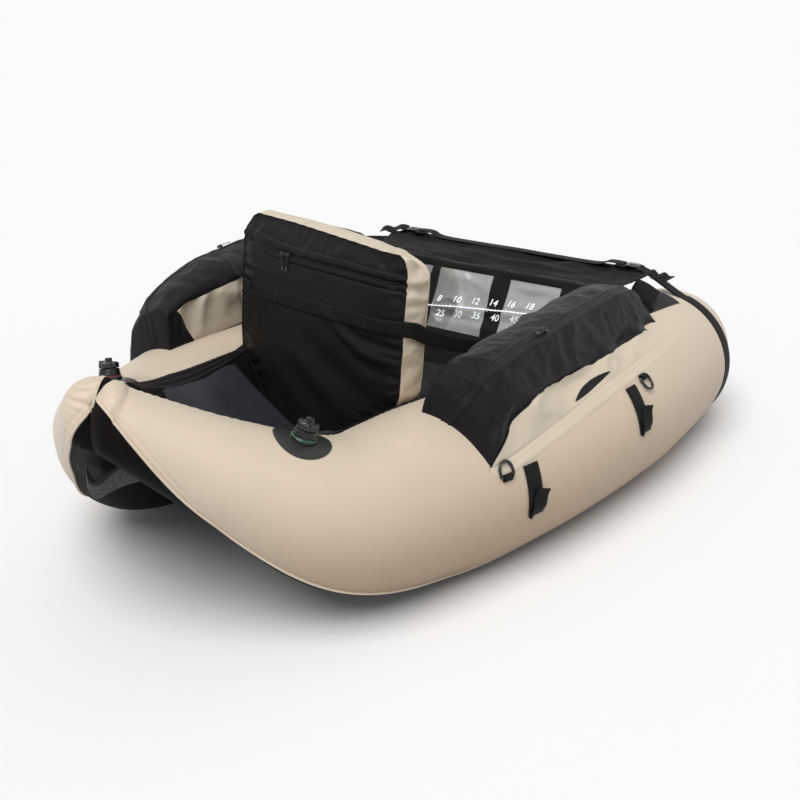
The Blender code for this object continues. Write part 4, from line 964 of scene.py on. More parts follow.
# %% Cargo deck and seat sling
rows = []
for share in np.linspace(0, 1, 60):
    y = -0.698 + share * (-0.297 + 0.698)
    edge = float(np.interp(y, (-0.698, -0.60, -0.53, -0.477, -0.386, -0.30),
                           (0.322, 0.337, 0.322, 0.304, 0.298, 0.294)))
    drop = float(np.interp(y, (-0.698, -0.60, -0.53, -0.42, -0.30), (0.020, 0.062, 0.085, 0.090, 0.110)))
    rows.append((y, edge - drop, edge))
deck = between_tubes("deck", rows, deck_cloth, lambda across: across ** 1.15, deck_relief, skew=-0.30)
sling_rows = [(-0.330 + share * 0.515, 0.125, 0.200) for share in np.linspace(0, 1, 50)]
sling = between_tubes("sling", sling_rows, black,
                      lambda across: np.clip((across - 0.4) / 0.6, 0, 1) ** 1.3,
                      lambda grid: 0.0006 * fuzz(grid, 12.0, 9.0, 2) - 0.0006)
for piece, node, size, cut in ((deck, "cargo_deck", (0.46, 0.43), 0.162),
                               (sling, "seat_sling", (0.50, 0.52), 0.240)):
    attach(piece, "hull")
    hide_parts(node)
    print(piece.name, "is cut from", size, "m")


# %% [markdown]
# ## Cushions full of air
# Seat and backrest are boxes of cloth with a bladder inside: a front, a back and a side panel sewn between
# them. Smoothing a box would lose its seams, so the sewn box is made first, with its measured creases. The
# cloth then gets a little spare length and air pressure while its seams are held, and swells as a real one.

# %% Air in a cushion
def swell_under_air(thing, pinned, pressure, spare, cap, frames=20):
    """Lets cloth with a little spare length fill with air between its sewn seams."""
    mesh = thing.data
    before = np.empty(len(mesh.vertices) * 3)
    mesh.vertices.foreach_get("co", before)
    before = before.reshape(-1, 3)
    group = thing.vertex_groups.new(name="sewn")
    group.add([int(index) for index in pinned], 1.0, "REPLACE")
    sim = thing.modifiers.new("air", "CLOTH")
    settings = {"quality": 5, "mass": 0.2, "use_pressure": True, "uniform_pressure_force": pressure,
                "tension_stiffness": 25.0, "compression_stiffness": 25.0, "bending_stiffness": 0.15,
                "air_damping": 2.0, "shrink_min": -spare, "shrink_max": -spare,
                "vertex_group_mass": "sewn", "pin_stiffness": 1.0}
    for key, value in settings.items():
        setattr(sim.settings, key, value)
    sim.settings.effector_weights.gravity = 0.0
    sim.collision_settings.use_collision = False
    sim.point_cache.frame_start = 1
    sim.point_cache.frame_end = frames
    for step in range(1, frames + 1):
        scene.frame_set(step)
    graph = bpy.context.evaluated_depsgraph_get()
    settled = thing.evaluated_get(graph).to_mesh()
    after = np.empty(len(settled.vertices) * 3)
    settled.vertices.foreach_get("co", after)
    thing.evaluated_get(graph).to_mesh_clear()
    move = after.reshape(-1, 3) - before
    size = np.linalg.norm(move, axis=1, keepdims=True)
    move *= np.minimum(1.0, cap / np.maximum(size, 1e-9))
    thing.modifiers.remove(sim)
    thing.vertex_groups.remove(group)
    mesh.vertices.foreach_set("co", (before + move).ravel())
    mesh.update()
    scene.frame_set(1)


# %% Cut of a cushion
def cushion_mesh(name, matrix, half_width, height, gusset, side_bulge, front, back, materials, counts,
                 gusset_relief=None, drops=None, spread=None):
    """A boxed cushion: a face on each side of a gusset, one closed skin.

    half_width gives the half width at a height, and front and back the heights of the faces. drops is
    how far the top edge of each hangs below that, and spread how much wider the left half is.
    """
    cols, rows, steps = counts
    u, v = np.meshgrid(np.linspace(-1, 1, cols), np.linspace(0, 1, rows))
    x = u * half_width(v)
    y = v * height
    verts, faces, slots = [], [], []
    faces_of = {}
    for which, face in (("front", front), ("back", back)):
        start = len(verts)
        sunk = 0.0 if drops is None else v ** 8 * np.interp(x, *drops[which])
        wide = x if spread is None else x * (1 + spread * smoothstep(v, 0.30, 0.50) * (x < 0))
        verts += np.stack([wide, y - sunk, face(x, y, u, v)], axis=2).reshape(-1, 3).tolist()
        flip = which == "back"
        for quad in grid_faces(rows, cols, flip=flip):
            faces.append(tuple(index + start for index in quad))
            slots.append(0 if which == "front" else 1)
        faces_of[which] = start
    border = [(0, col) for col in range(cols)] + [(row, cols - 1) for row in range(1, rows)]
    border += [(rows - 1, col) for col in range(cols - 2, -1, -1)]
    border += [(row, 0) for row in range(rows - 2, 0, -1)]
    index_of = [row * cols + col for row, col in border]
    fronts = np.array([verts[faces_of["front"] + index] for index in index_of])
    backs = np.array([verts[faces_of["back"] + index] for index in index_of])
    middle = fronts.mean(axis=0)
    edge = np.roll(fronts, -1, axis=0) - np.roll(fronts, 1, axis=0)
    out = np.cross(edge, (0, 0, 1.0))
    out /= np.maximum(np.linalg.norm(out, axis=1, keepdims=True), 1e-9)
    out *= np.sign(np.sum(out * (fronts - middle), axis=1, keepdims=True))
    rings = [[faces_of["front"] + index for index in index_of]]
    for step in range(1, steps):
        share = step / steps
        points = fronts + (backs - fronts) * share
        swell = side_bulge * math.sin(math.pi * share) ** 0.7
        points = points + out * swell
        if gusset_relief is not None:
            points = points + out * gusset_relief(points, share)[:, None]
        rings.append(list(range(len(verts), len(verts) + len(points))))
        verts += points.tolist()
    rings.append([faces_of["back"] + index for index in index_of])
    count = len(index_of)
    for low, high in zip(rings, rings[1:]):
        for step in range(count):
            after = (step + 1) % count
            faces.append((low[after], low[step], high[step], high[after]))
            slots.append(gusset)
    points = np.array(verts) @ np.array(matrix.to_3x3()).T + np.array(matrix.translation)
    thing = build(name, points, faces, materials, slots=slots, sharp=60)
    seams = rings[0] + rings[-1]
    return thing, seams, fronts, backs


# %% [markdown]
# ### Seat
# The seat cushion lies on the sling, between backrest and apron. Two channels across it keep it flat when it
# is filled, so its face is a low crown less the two channels.

# %% Seat cushion
SEAT = Matrix.Translation((0, 0.020 - 0.155, 0.125 + GAP + 0.031 + 0.012))


def seat_half(v):
    """Half width of the seat, with its corners drawn in."""
    ends = np.minimum(v, 1 - v)
    return 0.150 - 0.024 * np.exp(-(ends / 0.045) ** 2)


def seat_face(sign):
    """A face of the seat: crowned, with two channels across it."""
    def face(x, y, u, v):
        crown = (1 - np.abs(u) ** 2.6) * (1 - np.abs(2 * v - 1) ** 2.6)
        channel = 0.005 * np.exp(-((np.abs(v - 0.5) - 0.17) / 0.018) ** 2) * (1 - u ** 6)
        return sign * (0.027 + 0.014 * crown - channel)
    return face


seat, seams, _, _ = cushion_mesh("seat_cushion", SEAT, seat_half, 0.310, 1, 0.003, seat_face(1.0),
                                 seat_face(-1.0), [black, face_black], (60, 60, 8))
swell_under_air(seat, seams, 4.0, 0.02, 0.006)
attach(seat, "hull")
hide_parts("seat_cover", "seat_bladder")
print("seat cushion:", tuple(round(part, 3) for part in seat.dimensions), "m")


# %% [markdown]
# ## Backrest
# The backrest stands on the sling, leans to the stern, and is squeezed between the tubes at its foot. Its
# half width is therefore measured, height by height, as far as the tubes leave room. It stands a few degrees
# askew, so one matrix carries its place, and everything on it is drawn flat and then moved.

# %% Outline of the backrest
BACK = Matrix(((0.9919, 0.0133, -0.1264, 0.0), (-0.1271, 0.1037, -0.9865, -0.2305),
               (0.0, 0.9945, 0.1045, 0.1256), (0, 0, 0, 1)))
BACK_HEIGHT = 0.471
BACK_HALF = 0.2240
BACK_COLS, BACK_ROWS = 92, 110
BACK_OUTLINE = ((0.0, 0.44), (0.02, 0.54), (0.136, 0.64), (0.263, 0.84), (0.34, 0.95), (0.40, 1.0),
                (0.76, 1.0), (0.93, 0.995), (0.985, 0.955), (1.0, 0.90))


def clear_of_tubes(v, wanted):
    """The half width at a height of the backrest, drawn in where a tube presses on it."""
    half = wanted
    for side in (1.0, -1.0):
        for depth in (0.046, 0.010, -0.026):
            reach = wanted
            while reach > 0.06:
                spot = BACK @ Vector((side * (reach + 0.005), v * BACK_HEIGHT, depth))
                centre, _, radius, _, _ = section_at(station_near(spot.y))
                if math.hypot(abs(spot.x) - centre[0], spot.z - centre[2]) > radius + 0.002:
                    break
                reach -= 0.001
            half = min(half, reach)
    return half


BACK_STOPS = np.linspace(0, 1, 61)
BACK_HALVES = np.array([clear_of_tubes(v, BACK_HALF * float(np.interp(v, *zip(*BACK_OUTLINE))))
                        for v in BACK_STOPS])
print("backrest half width from", round(BACK_HALVES.min(), 3), "to", round(BACK_HALVES.max(), 3))


def back_half(v):
    """Half width of the backrest at a share of its height."""
    return np.interp(v, BACK_STOPS, BACK_HALVES)


# %% Faces of the backrest
def back_rim(u, v):
    """Height of the front seam: drawn back over the top, more so at the left-hand corner."""
    side_share = np.clip((u + 1) / 2, 0, 1)
    top = smoothstep(v, 0.90, 1.0) * (1 - smoothstep(side_share, 0.2, 0.95))
    left = smoothstep(-u, 0.90, 1.0)
    return 0.0445 - 0.020 * top - 0.003 * left * (1 - top)


def back_crown(u, v):
    """How far the air lifts a face, from 0 at its seams to 1 in its middle."""
    return (1 - np.abs(u) ** 2.5) * (1 - np.abs(2 * v - 1) ** 3.0)


ZIP_HEIGHT = 0.4095


def zip_lift(x):
    """How much higher the zip's left end lies."""
    return 0.012 * smoothstep(-x, 0.09, 0.21)


def back_front(x, y, u, v):
    """Height of the front face: seam puckers, the creases from the strap, and the zip's groove."""
    height = back_rim(u, v) + 0.0110 * back_crown(u, v)
    spots = np.stack([x, y, np.zeros_like(x)], axis=2)
    edge = back_half(v) - np.abs(x)
    pull = np.sin(y * 330 + 3 * fuzz(spots, 20.0, 2.0, 1)) * np.exp(-edge / 0.026)
    height += 0.0018 * pull * smoothstep(edge, 0.0, 0.008)
    top = (BACK_HEIGHT - y)
    height += 0.0012 * np.sin(x * 210 + 3 * fuzz(spots, 16.0, 5.0, 1)) * np.exp(-top / 0.018)
    for line, width, rise in (
            ([(0.010, 0.330), (0.060, 0.296), (0.120, 0.258), (0.215, 0.250)], 0.013, 0.0060),
            ([(0.030, 0.312), (0.085, 0.268), (0.150, 0.232), (0.215, 0.228)], 0.012, -0.0045),
            ([(0.065, 0.300), (0.130, 0.284), (0.215, 0.280)], 0.010, -0.0035),
            ([(-0.070, 0.235), (0.010, 0.175), (0.090, 0.130), (0.150, 0.110)], 0.022, 0.0055),
            ([(-0.030, 0.260), (0.060, 0.205), (0.150, 0.170), (0.215, 0.165)], 0.018, -0.0040),
            ([(-0.160, 0.195), (-0.060, 0.130), (0.030, 0.085)], 0.024, 0.0050),
            ([(-0.190, 0.240), (-0.110, 0.160), (-0.020, 0.100)], 0.018, -0.0030),
            ([(-0.160, 0.462), (-0.172, 0.428)], 0.010, 0.0022),
            ([(-0.020, 0.460), (-0.042, 0.424)], 0.010, 0.0022),
            ([(0.100, 0.450), (0.200, 0.424)], 0.014, 0.0030),
            ([(-0.215, 0.380), (-0.120, 0.364), (0.020, 0.372)], 0.012, 0.0016)):
        height += crease(x, y, line, width, rise)
    height += 0.0022 * fuzz(spots, 9.0, 3.0, 2)
    zip_gap = y - ZIP_HEIGHT - zip_lift(x)
    height -= 0.0030 * np.exp(-(zip_gap / 0.0035) ** 2)
    height += 0.0020 * np.exp(-((np.abs(zip_gap) - 0.009) / 0.0040) ** 2)
    height -= 0.0022 * np.exp(-((np.abs(zip_gap) - 0.0165) / 0.0024) ** 2)
    return height


def back_back(x, y, u, v):
    """Height of the rear face, which is plain."""
    spots = np.stack([x, y, np.ones_like(x)], axis=2)
    return -(0.0190 + 0.0330 * back_crown(u, v) ** 0.8 + 0.0030 * fuzz(spots, 8.0, 7.0, 2))


BACK_DROPS = {"front": ((-0.22, -0.10, 0.0, 0.10, 0.165, 0.2235), (0.0, 0.003, 0.007, 0.011, 0.014, 0.014)),
              "back": ((-0.10, 0.0, 0.10, 0.17, 0.2235), (0.0, 0.004, 0.012, 0.023, 0.040))}


# %% Side panel and cushion of the backrest
def back_side(points, share):
    """Puckers of the side panel, deepest round its top corners."""
    corner = np.hypot(np.abs(points[:, 0]) - 0.215, points[:, 1] - 0.440)
    dents = np.sin(points[:, 1] * 190 + points[:, 0] * 130 + 2.0 * share)
    deep = 0.0095 * np.exp(-(corner / 0.060) ** 2) * dents * (1.0 + 0.5 * np.sin(points[:, 1] * 71))
    deep *= np.where(points[:, 0] > 0, 1.0, 0.15)
    soft = 0.0020 * fuzz(points, 24.0, 3.0, 2)
    return (deep + soft) * math.sin(math.pi * share) ** 0.5


back, seams, fronts, backs = cushion_mesh("backrest_cushion", BACK, back_half, BACK_HEIGHT, 2, 0.0030,
                                          back_front, back_back, [face_black, black, tan_soft],
                                          (BACK_COLS, BACK_ROWS, 12), back_side, BACK_DROPS, 0.040)
swell_under_air(back, seams, 4.0, 0.02, 0.006)
for edge_name, loop, material in (("front", fronts, black), ("back", backs, tan_soft)):
    ring = loop @ np.array(BACK.to_3x3()).T + np.array(BACK.translation)
    seam = rod(f"backrest_seam_{edge_name}", ring, 0.0013, material, sides=6, closed=True)
    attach(seam, "backrest")
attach(back, "backrest")
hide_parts("backrest_cover", "backrest_bladder")
print("backrest cushion:", tuple(round(part, 3) for part in back.dimensions), "m")


# %% [markdown]
# ### What is sewn on the backrest
# A band of webbing crosses the face, and a zip with two sliders lies above it. Both sink and rise with the
# swollen cloth, so they are laid on the finished face rather than on its flat plan.

# %% Band and zip of the backrest
BACK_FACE = np.array([vert.co for vert in back.data.vertices[:BACK_ROWS * BACK_COLS]])
BACK_FACE = BACK_FACE.reshape(BACK_ROWS, BACK_COLS, 3)
BACK_OUT = np.array(BACK.to_3x3() @ Vector((0, 0, 1)))


def on_face(x, y, lift=0.0):
    """Points on the backrest's finished front, or lifted off it."""
    x, y = np.broadcast_arrays(np.atleast_1d(np.asarray(x, float)), np.atleast_1d(np.asarray(y, float)))
    v = y / BACK_HEIGHT
    row = np.clip(v * (BACK_ROWS - 1), 0, BACK_ROWS - 1.001)
    col = np.clip((x / back_half(v) + 1) / 2 * (BACK_COLS - 1), 0, BACK_COLS - 1.001)
    r, c = row.astype(int), col.astype(int)
    a, b = (row - r)[:, None], (col - c)[:, None]
    spots = (BACK_FACE[r, c] * (1 - b) + BACK_FACE[r, c + 1] * b) * (1 - a)
    spots += (BACK_FACE[r + 1, c] * (1 - b) + BACK_FACE[r + 1, c + 1] * b) * a
    return spots + lift * BACK_OUT


def face_strip(name, x0, x1, low, high, lift, material, wall=0.0012, bow=0.0):
    """A strip across the backrest's face."""
    rows = []
    for x in np.linspace(x0, x1, 90):
        y = np.linspace(low, high, 9) + bow * (1 - (x / 0.2275) ** 2)
        rows.append(on_face(np.full(9, x), y, lift))
    return surface(name, np.array(rows), material, wall=wall, offset=1.0, flip=True)


band = face_strip("band", -0.218, 0.160, 0.3045, 0.3335, 0.0004, webbing)
across_face = np.linspace(-0.214, 0.214, 140)
lift_left = zip_lift(across_face)
coil = rod("zip_coil", on_face(across_face, ZIP_HEIGHT + lift_left, 0.0006), 0.0013, tape, sides=6)
stitches = []
for name, y in (("a", ZIP_HEIGHT + 0.0170), ("b", ZIP_HEIGHT - 0.0170)):
    line = on_face(across_face, y + lift_left, 0.0001)
    stitches.append(rod(f"stitch_{name}", line, 0.0005, thread, sides=4))
for x in (-0.105, 0.150):
    stitches.append(rod(f"box_{x}", on_face(x, np.linspace(0.306, 0.332, 10), 0.0018), 0.0005, thread,
                        sides=4))
zipper = join("backrest_zipper", [coil] + stitches)
for piece, node in ((band, "backrest_band"), (zipper, "backrest_zip")):
    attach(piece, "backrest")
    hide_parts(node)


# %% Zip sliders
def zip_slider(name, matrix, body, sizes=(0.0125, 0.0085, 0.0050), pull=0.030, turn=0.0):
    """A zip slider with a slim pull that hangs down its local Y."""
    parts = [block(name, sizes, matrix, plastic, 0.0014)]
    hang = matrix @ Matrix.Rotation(turn, 4, "Z") @ Matrix.Translation((0, 0, sizes[2] / 2))
    for over in (-0.0024, 0.0024):
        leg = hang @ Matrix.Translation((over, -pull / 2, 0.0004))
        parts.append(block(f"{name}_leg", (0.0014, pull, 0.0014), leg, plastic, 0.0005, 2))
    parts.append(block(f"{name}_tip", (0.0064, 0.0100, 0.0016),
                       hang @ Matrix.Translation((0, -pull, 0.0004)), plastic, 0.0006, 2))
    parts.append(block(f"{name}_eye", (0.0064, 0.0030, 0.0026),
                       hang @ Matrix.Translation((0, 0, 0.0006)), plastic, 0.0008, 2))
    made = join(name, parts)
    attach(made, body)
    return made


spot = Vector(on_face(-0.092, ZIP_HEIGHT, 0.0030)[0])
place = Matrix.Translation(spot) @ BACK.to_3x3().to_4x4()
puller = zip_slider("backrest_pull", place, "backrest_slider", turn=0.10)
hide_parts("backrest_slider")
zip_slider("backrest_stop", place @ Matrix.Translation((0.0145, 0, 0)), "backrest", turn=-0.04)
print("the zip slider stands at", spot)

# %% [markdown]
# ### Side straps
# A strap on each side holds the backrest up. It starts at the band, turns round the side panel and ends on
# the pocket. It rides on neither body, so it stays where it is drawn when the backrest folds.

# %% Side straps
for word, side in SIDES:
    if side > 0:
        start = on_face([0.148, 0.180, 0.208], [0.3185, 0.3195, 0.3220], 0.0026)
    else:
        start = on_face([-0.185, -0.200, -0.214], [0.319, 0.319, 0.319], 0.0024)
    turn_x = side * 0.2355
    around = [BACK @ Vector((turn_x - side * 0.004, 0.3210, 0.036)), BACK @ Vector((turn_x, 0.3160, 0.018)),
              BACK @ Vector((turn_x, 0.3030, -0.010))]
    landing = [(side * 0.262, -0.176, 0.405), (side * 0.285, -0.145, 0.394), (side * 0.3015, -0.120, 0.387)]
    path = curve_through([*start, *around, *landing], 60)
    out = np.zeros_like(path)
    out[:, 2] = 1.0
    side_strap = strap(f"strap_{word}", path, out, 0.031, 0.0020, webbing)
    first = tuple(float(part) for part in path[18])
    last = tuple(float(part) for part in path[-6])
    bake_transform(side_strap)
    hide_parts(f"side_strap_{word}")
    print(side_strap.name, "is blended from", first, "to", last)


# %% [markdown]
# ## Pockets
# A large zipped pocket sits on each tube. It is slack and half empty, so its cloth crumples, more so on the
# soft tan panels than along the zip, which the stiff tape keeps smooth. Its section is six straight runs whose
# corners are rounded off, from the inner foot over the top to the outer seam, and it shrinks at both ends.

# %% Section of a pocket
POCKET_SECTION = np.array([(0.3050, 0.3250), (0.3070, 0.4080), (0.3450, 0.4270), (0.4020, 0.4340),
                           (0.4300, 0.4240), (0.4660, 0.3470)])
POCKET_SEAM = np.array([(57,), (47,), (38.5,), (34,), (31,)], dtype=float)
POCKET_TAIL = ((0.79, 0.97), (0.90, 0.86), (0.955, 0.68), (0.985, 0.38), (1.0, 0.0))
# Each pocket: where it starts, its length, its extra height, how full it is along it, and how much more
# its inner corners are filled
FULL = ((0.0, 0.0), (0.015, 0.42), (0.045, 0.76), (0.105, 0.95), (0.24, 1.0), (0.65, 1.0), *POCKET_TAIL)
SLACK = ((0.0, 0.0), (0.012, 0.38), (0.072, 0.60), (0.16, 0.76), (0.257, 0.88), (0.45, 0.97), (0.62, 0.85),
         (0.79, 0.76), (0.90, 0.68), (0.955, 0.55), (0.985, 0.34), (1.0, 0.0))
POCKETS = {"right": (-0.337, 0.723, 0.0, FULL, (1.0,) * 6),
           "left": (-0.365, 0.751, 0.047, SLACK, (0.4, 0.4, 0.55, 0.8, 1.0, 1.0))}
RISE_SHARES = (0.0, 0.75, 1.0, 1.0, 1.0, 0.45)


def pocket_corners(share, form):
    """A pocket's section at a share of its length: inner foot, four top corners, outer edge, seam."""
    start, length, rise, fills, biases = form
    y = start + share * length
    centre, _, radius, _, _ = section_at(station_near(y))
    fill = float(np.interp(share, *zip(*fills)))
    corners = []
    for (across, level), part, bias in zip(POCKET_SECTION, RISE_SHARES, biases):
        x = min(across, centre[0] + radius * 0.86)
        low = crest_height(x, y) - 0.002
        corners.append((x, y, low + fill ** bias * (level + rise * part - low)))
    angle = through(POCKET_SEAM, share * 4)[0]
    edge = spot_on(station_through(y, angle), angle, 0.0006)
    corners.append((edge[0], y, edge[2]))
    return np.array(corners)


# %% Skin of a pocket
class Pocket:
    """A pocket's skin as one fine grid: rows along the craft, columns from inner foot to outer seam."""

    def __init__(self, side, form, seed):
        self.shares = np.concatenate([np.linspace(0, 0.06, 22)[:-1], np.linspace(0.06, 0.9, 190)[:-1],
                                      np.linspace(0.9, 1.0, 30)])
        self.places = np.linspace(0, 6, 181)
        rows = []
        for share in self.shares:
            corners = pocket_corners(share, form)
            steps = []
            for place in self.places:
                reach = min(0.42, place + 1e-6, 6 - place + 1e-6)
                spots = np.linspace(place - reach, place + reach, 9)
                index = np.clip(spots.astype(int), 0, 5)
                part = (spots - index)[:, None]
                steps.append((corners[index] * (1 - part) + corners[index + 1] * part).mean(axis=0))
            rows.append(steps)
        grid = np.array(rows)
        out = normals(grid)
        calm = 1 - 0.85 * np.exp(-((self.places - 3.5) / 0.40) ** 2)[None, :]
        calm = calm * np.clip(np.minimum(self.places, 6 - self.places) / 0.7, 0, 1)[None, :]
        ends = np.clip(np.minimum(self.shares, 1 - self.shares) / 0.03, 0, 1)[:, None]
        sag = -0.0045 * np.sin(np.clip(self.places - 4.0, 0, 1) * math.pi)[None, :] * ends
        crumple = 0.0030 * creased(grid, 6.5, seed, 2, (1.0, 1.0, 0.7))
        crumple += 0.0014 * creased(grid, 17.0, seed + 1, 2, (1.0, 1.0, 0.8))
        crumple += 0.0040 * fuzz(grid, 5.0, seed + 2, 1)
        crumple *= np.interp(self.places, (4.7, 5.1), (1.0, 0.25))[None, :]
        gusset = np.interp(self.places, (4.8, 5.1, 5.8, 6.0), (0.0, 1.0, 0.8, 0.0))[None, :]
        crumple += 0.0110 * gusset * (creased(grid, 8.0, seed + 4, 2, (1.4, 0.7, 0.9)) - 0.3)
        inside = np.interp(self.places, (0.0, 0.3, 0.9, 1.1), (0.0, 1.0, 1.0, 0.0))[None, :]
        crumple += inside * (0.0080 * creased(grid, 9.0, seed + 6, 2, (1.0, 1.3, 0.3)) - 0.0080)
        relief = crumple * calm * ends + sag
        self.grid = mirror(grid + out * relief[..., None], side)
        self.out = mirror(normals(grid + out * relief[..., None]), side)
        self.side = side

    def at(self, shares, places, lift=0.0):
        """Points on the skin at shares of the length and places on the section."""
        shares, places, lift = np.broadcast_arrays(shares, places, lift)
        row = np.interp(shares, self.shares, np.arange(len(self.shares)))
        col = np.interp(places, self.places, np.arange(len(self.places)))
        r = np.clip(row.astype(int), 0, len(self.shares) - 2)
        c = np.clip(col.astype(int), 0, len(self.places) - 2)
        a, b = (row - r)[..., None], (col - c)[..., None]

        def mix(table):
            return ((table[r, c] * (1 - b) + table[r, c + 1] * b) * (1 - a)
                    + (table[r + 1, c] * (1 - b) + table[r + 1, c + 1] * b) * a)
        return mix(self.grid) + mix(self.out) * np.asarray(lift)[..., None]


# %% Pieces sewn on a pocket
def overlay(pocket, name, shares, low, high, lift, material, columns=24, wall=0.0):
    """A piece sewn on a pocket, between two places on its section at each share of its length."""
    spread = np.linspace(0, 1, columns)[None, :]
    low, high = np.asarray(low)[:, None], np.asarray(high)[:, None]
    places = low + (high - low) * spread
    edge = np.minimum(spread, 1 - spread) * np.ones_like(places)
    rise = lift * np.clip(edge * 14, 0.15, 1)
    grid = pocket.at(shares[:, None] * np.ones_like(places), places, rise)
    return surface(name, grid, material, flip=pocket.side < 0, wall=wall, sharp=70)


# %% Bags
pockets = {}
for word, side in SIDES:
    pocket = pockets[word] = Pocket(side, POCKETS[word], 2.0 if side > 0 else 11.0)
    bag = surface(f"bag_{word}", pocket.grid, black, flip=side < 0, sharp=70)
    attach(bag, "hull")
    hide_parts(f"pocket_body_{word}")
    print(f"pocket on the {word}:", POCKETS[word][1], "m long")

# %% [markdown]
# ### Side panels
# A soft tan panel closes each side of a pocket. It could be its own mesh beside the bag, but then its folds
# would not match, so it takes its points from the bag's skin, a little lifted. The outer one ends in a hem
# on the tube, and a black welt runs along its upper edge, which wavers.

# %% Outer side panels
shares = np.concatenate([np.linspace(0.004, 0.08, 26)[:-1], np.linspace(0.08, 0.984, 150)])
taper = np.clip(shares / 0.170, 0, 1) ** 0.55
tail = np.clip((1 - shares) / 0.10, 0, 1) ** 0.6
waver = 0.07 * fuzz(np.stack([shares, shares * 0, shares * 0], axis=-1), 13.0, 3.0, 2)
waver = waver - np.interp(shares, (0.0, 0.30, 0.55, 0.85, 1.0), (0.0, 0.02, 0.20, 0.26, 0.30))
welt_line = 6 - (1.02 + waver) * taper * (0.35 + 0.65 * tail)


def hem_on_tube(form):
    """Points of the hem by which a side panel is sewn to the right-hand tube."""
    rows = []
    for share in np.linspace(0.0, 0.985, 150):
        y = form[0] + share * form[1]
        angle = through(POCKET_SEAM, share * 4)[0]
        reach = 9.0 * min(1.0, share * 30 + 0.3)
        angles = angle + np.linspace(-0.8, reach, 12)
        lift = 0.0010 + 0.0006 * np.sin(np.linspace(0, 2 * math.pi, 12)) ** 2
        lift = lift * np.array([1.6] + [1.0] * 9 + [0.7, 0.1])
        t = station_through(y, angle)
        rows.append([spot_on(t, one, rise) for one, rise in zip(angles, lift)])
    return np.array(rows)


for word, side in SIDES:
    pocket = pockets[word]
    outer = overlay(pocket, f"flap_{word}", shares, welt_line, np.full(len(shares), 5.985), 0.0016, tan_soft)
    hem = hem_on_tube(POCKETS[word])
    hem = surface(f"hem_{word}", mirror(hem, side), tan_soft, flip=side < 0, sharp=70)
    side_panel = join(f"pocket_side_{word}", [outer, hem])
    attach(side_panel, "hull")
    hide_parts(f"pocket_side_{word}")
    welt = rod(f"welt_{word}", pocket.at(shares, welt_line, 0.0012), 0.0011, black, sides=6, flip=side < 0)
    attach(welt, "hull")
    print(side_panel.name, "has", len(side_panel.data.polygons), "faces")

# %% Inner side panels and vents
inner_shares = np.linspace(0.045, 0.93, 120)
foot = np.interp(inner_shares, (0.045, 0.095), (0.95, 0.02))
top = 0.97 * np.clip((0.95 - inner_shares) / 0.12, 0.02, 1)
slot_shares = np.linspace(0.365, 0.565, 40)
bend = np.sin(np.linspace(0, math.pi, 40))
low = 5.83 - 0.13 * np.linspace(0, 1, 40)
for word, side in SIDES:
    inner = overlay(pockets[word], f"inner_side_{word}", inner_shares, foot, top, 0.0014, tan_soft)
    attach(inner, "hull")
    dark = overlay(pockets[word], f"vent_{word}", slot_shares, low - 0.20 * bend ** 0.8,
                   low + 0.10 * bend ** 0.7, 0.0030, black, 10)
    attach(dark, "hull")
    print(inner.name, "and", dark.name, "are sewn on")

# %% [markdown]
# ### Zips of the pockets
# The zip's stiff tape follows the top of each pocket, with a coil in its middle and a slider that runs on it.

# %% Zip tapes
zip_shares = np.concatenate([np.linspace(0.001, 0.09, 40)[:-1], np.linspace(0.09, 0.94, 150)])
middle = np.interp(zip_shares, (0.0, 0.015, 0.045, 0.10, 1.0), (2.15, 2.75, 3.25, 3.5, 3.5))
spread = np.linspace(-1, 1, 33)[None, :]
wide = np.interp(zip_shares, (0.0, 0.03, 0.1, 1.0), (0.18, 0.24, 0.40, 0.40))[:, None]
rise = 0.0008 + 0.0022 * np.exp(-((np.abs(spread) - 0.72) / 0.20) ** 2)
rise = rise + 0.0010 * np.exp(-(spread / 0.12) ** 2)
rise = np.where(np.abs(spread) > 0.97, 0.0002, rise) * np.ones((len(zip_shares), 1))
for word, side in SIDES:
    closing = pockets[word].at(zip_shares[:, None], middle[:, None] + spread * wide, rise)
    closure = surface(f"zip_{word}", closing, tape, flip=side < 0, sharp=50)
    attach(closure, "hull")
    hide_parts(f"pocket_zip_{word}")
    print(closure.name, "is", round(float(lengths(closing)[-1, 1]), 3), "m long")

# %% Sliders of the pockets
SLIDER_Y = -0.080
for word, side in SIDES:
    form = POCKETS[word]
    across = pocket_corners(0.45, form)
    across = across[4] - across[3]
    across /= np.linalg.norm(across)
    up = np.cross(across, (0, 1.0, 0))
    turn = Matrix((across, (0, 1.0, 0), up)).transposed().to_4x4()
    over = mirror(pockets[word].at((SLIDER_Y - form[0]) / form[1], 3.5, 0.0045), side)
    place = mirrored(Matrix.Translation(over) @ turn, side)
    runner = zip_slider(f"runner_{word}", place, f"pocket_slider_{word}")
    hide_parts(f"pocket_slider_{word}")
    print(runner.name, "stands at", over)


# %% [markdown]
# ## Lap apron
# The apron lies over the sitter's lap and is folded down before them, with three clear windows in the part
# that hangs. It is one sheet, slack between its seams. Cutting the windows with a boolean would tear its
# creases, so the grid has a line on each window's edge, and the faces inside are left out.

# %% Lines and creases of the apron
APRON_PROFILE = np.array([(0.603, 0.377), (0.560, 0.374), (0.500, 0.369), (0.440, 0.369), (0.392, 0.382),
                          (0.366, 0.388), (0.352, 0.371), (0.258, 0.178)])
DOWN = np.array([0.0, -0.4404, -0.8978])
WINDOW_OUT = np.array([0.0, -0.8978, 0.4404])
FOLD = np.array([0.0, 0.362, 0.390])
WINDOWS = ((-0.2445, -0.1100), (-0.0870, 0.0640), (0.1080, 0.2445))
WINDOW_DROP = (0.0170, 0.1680)
APRON_HALF = 0.300


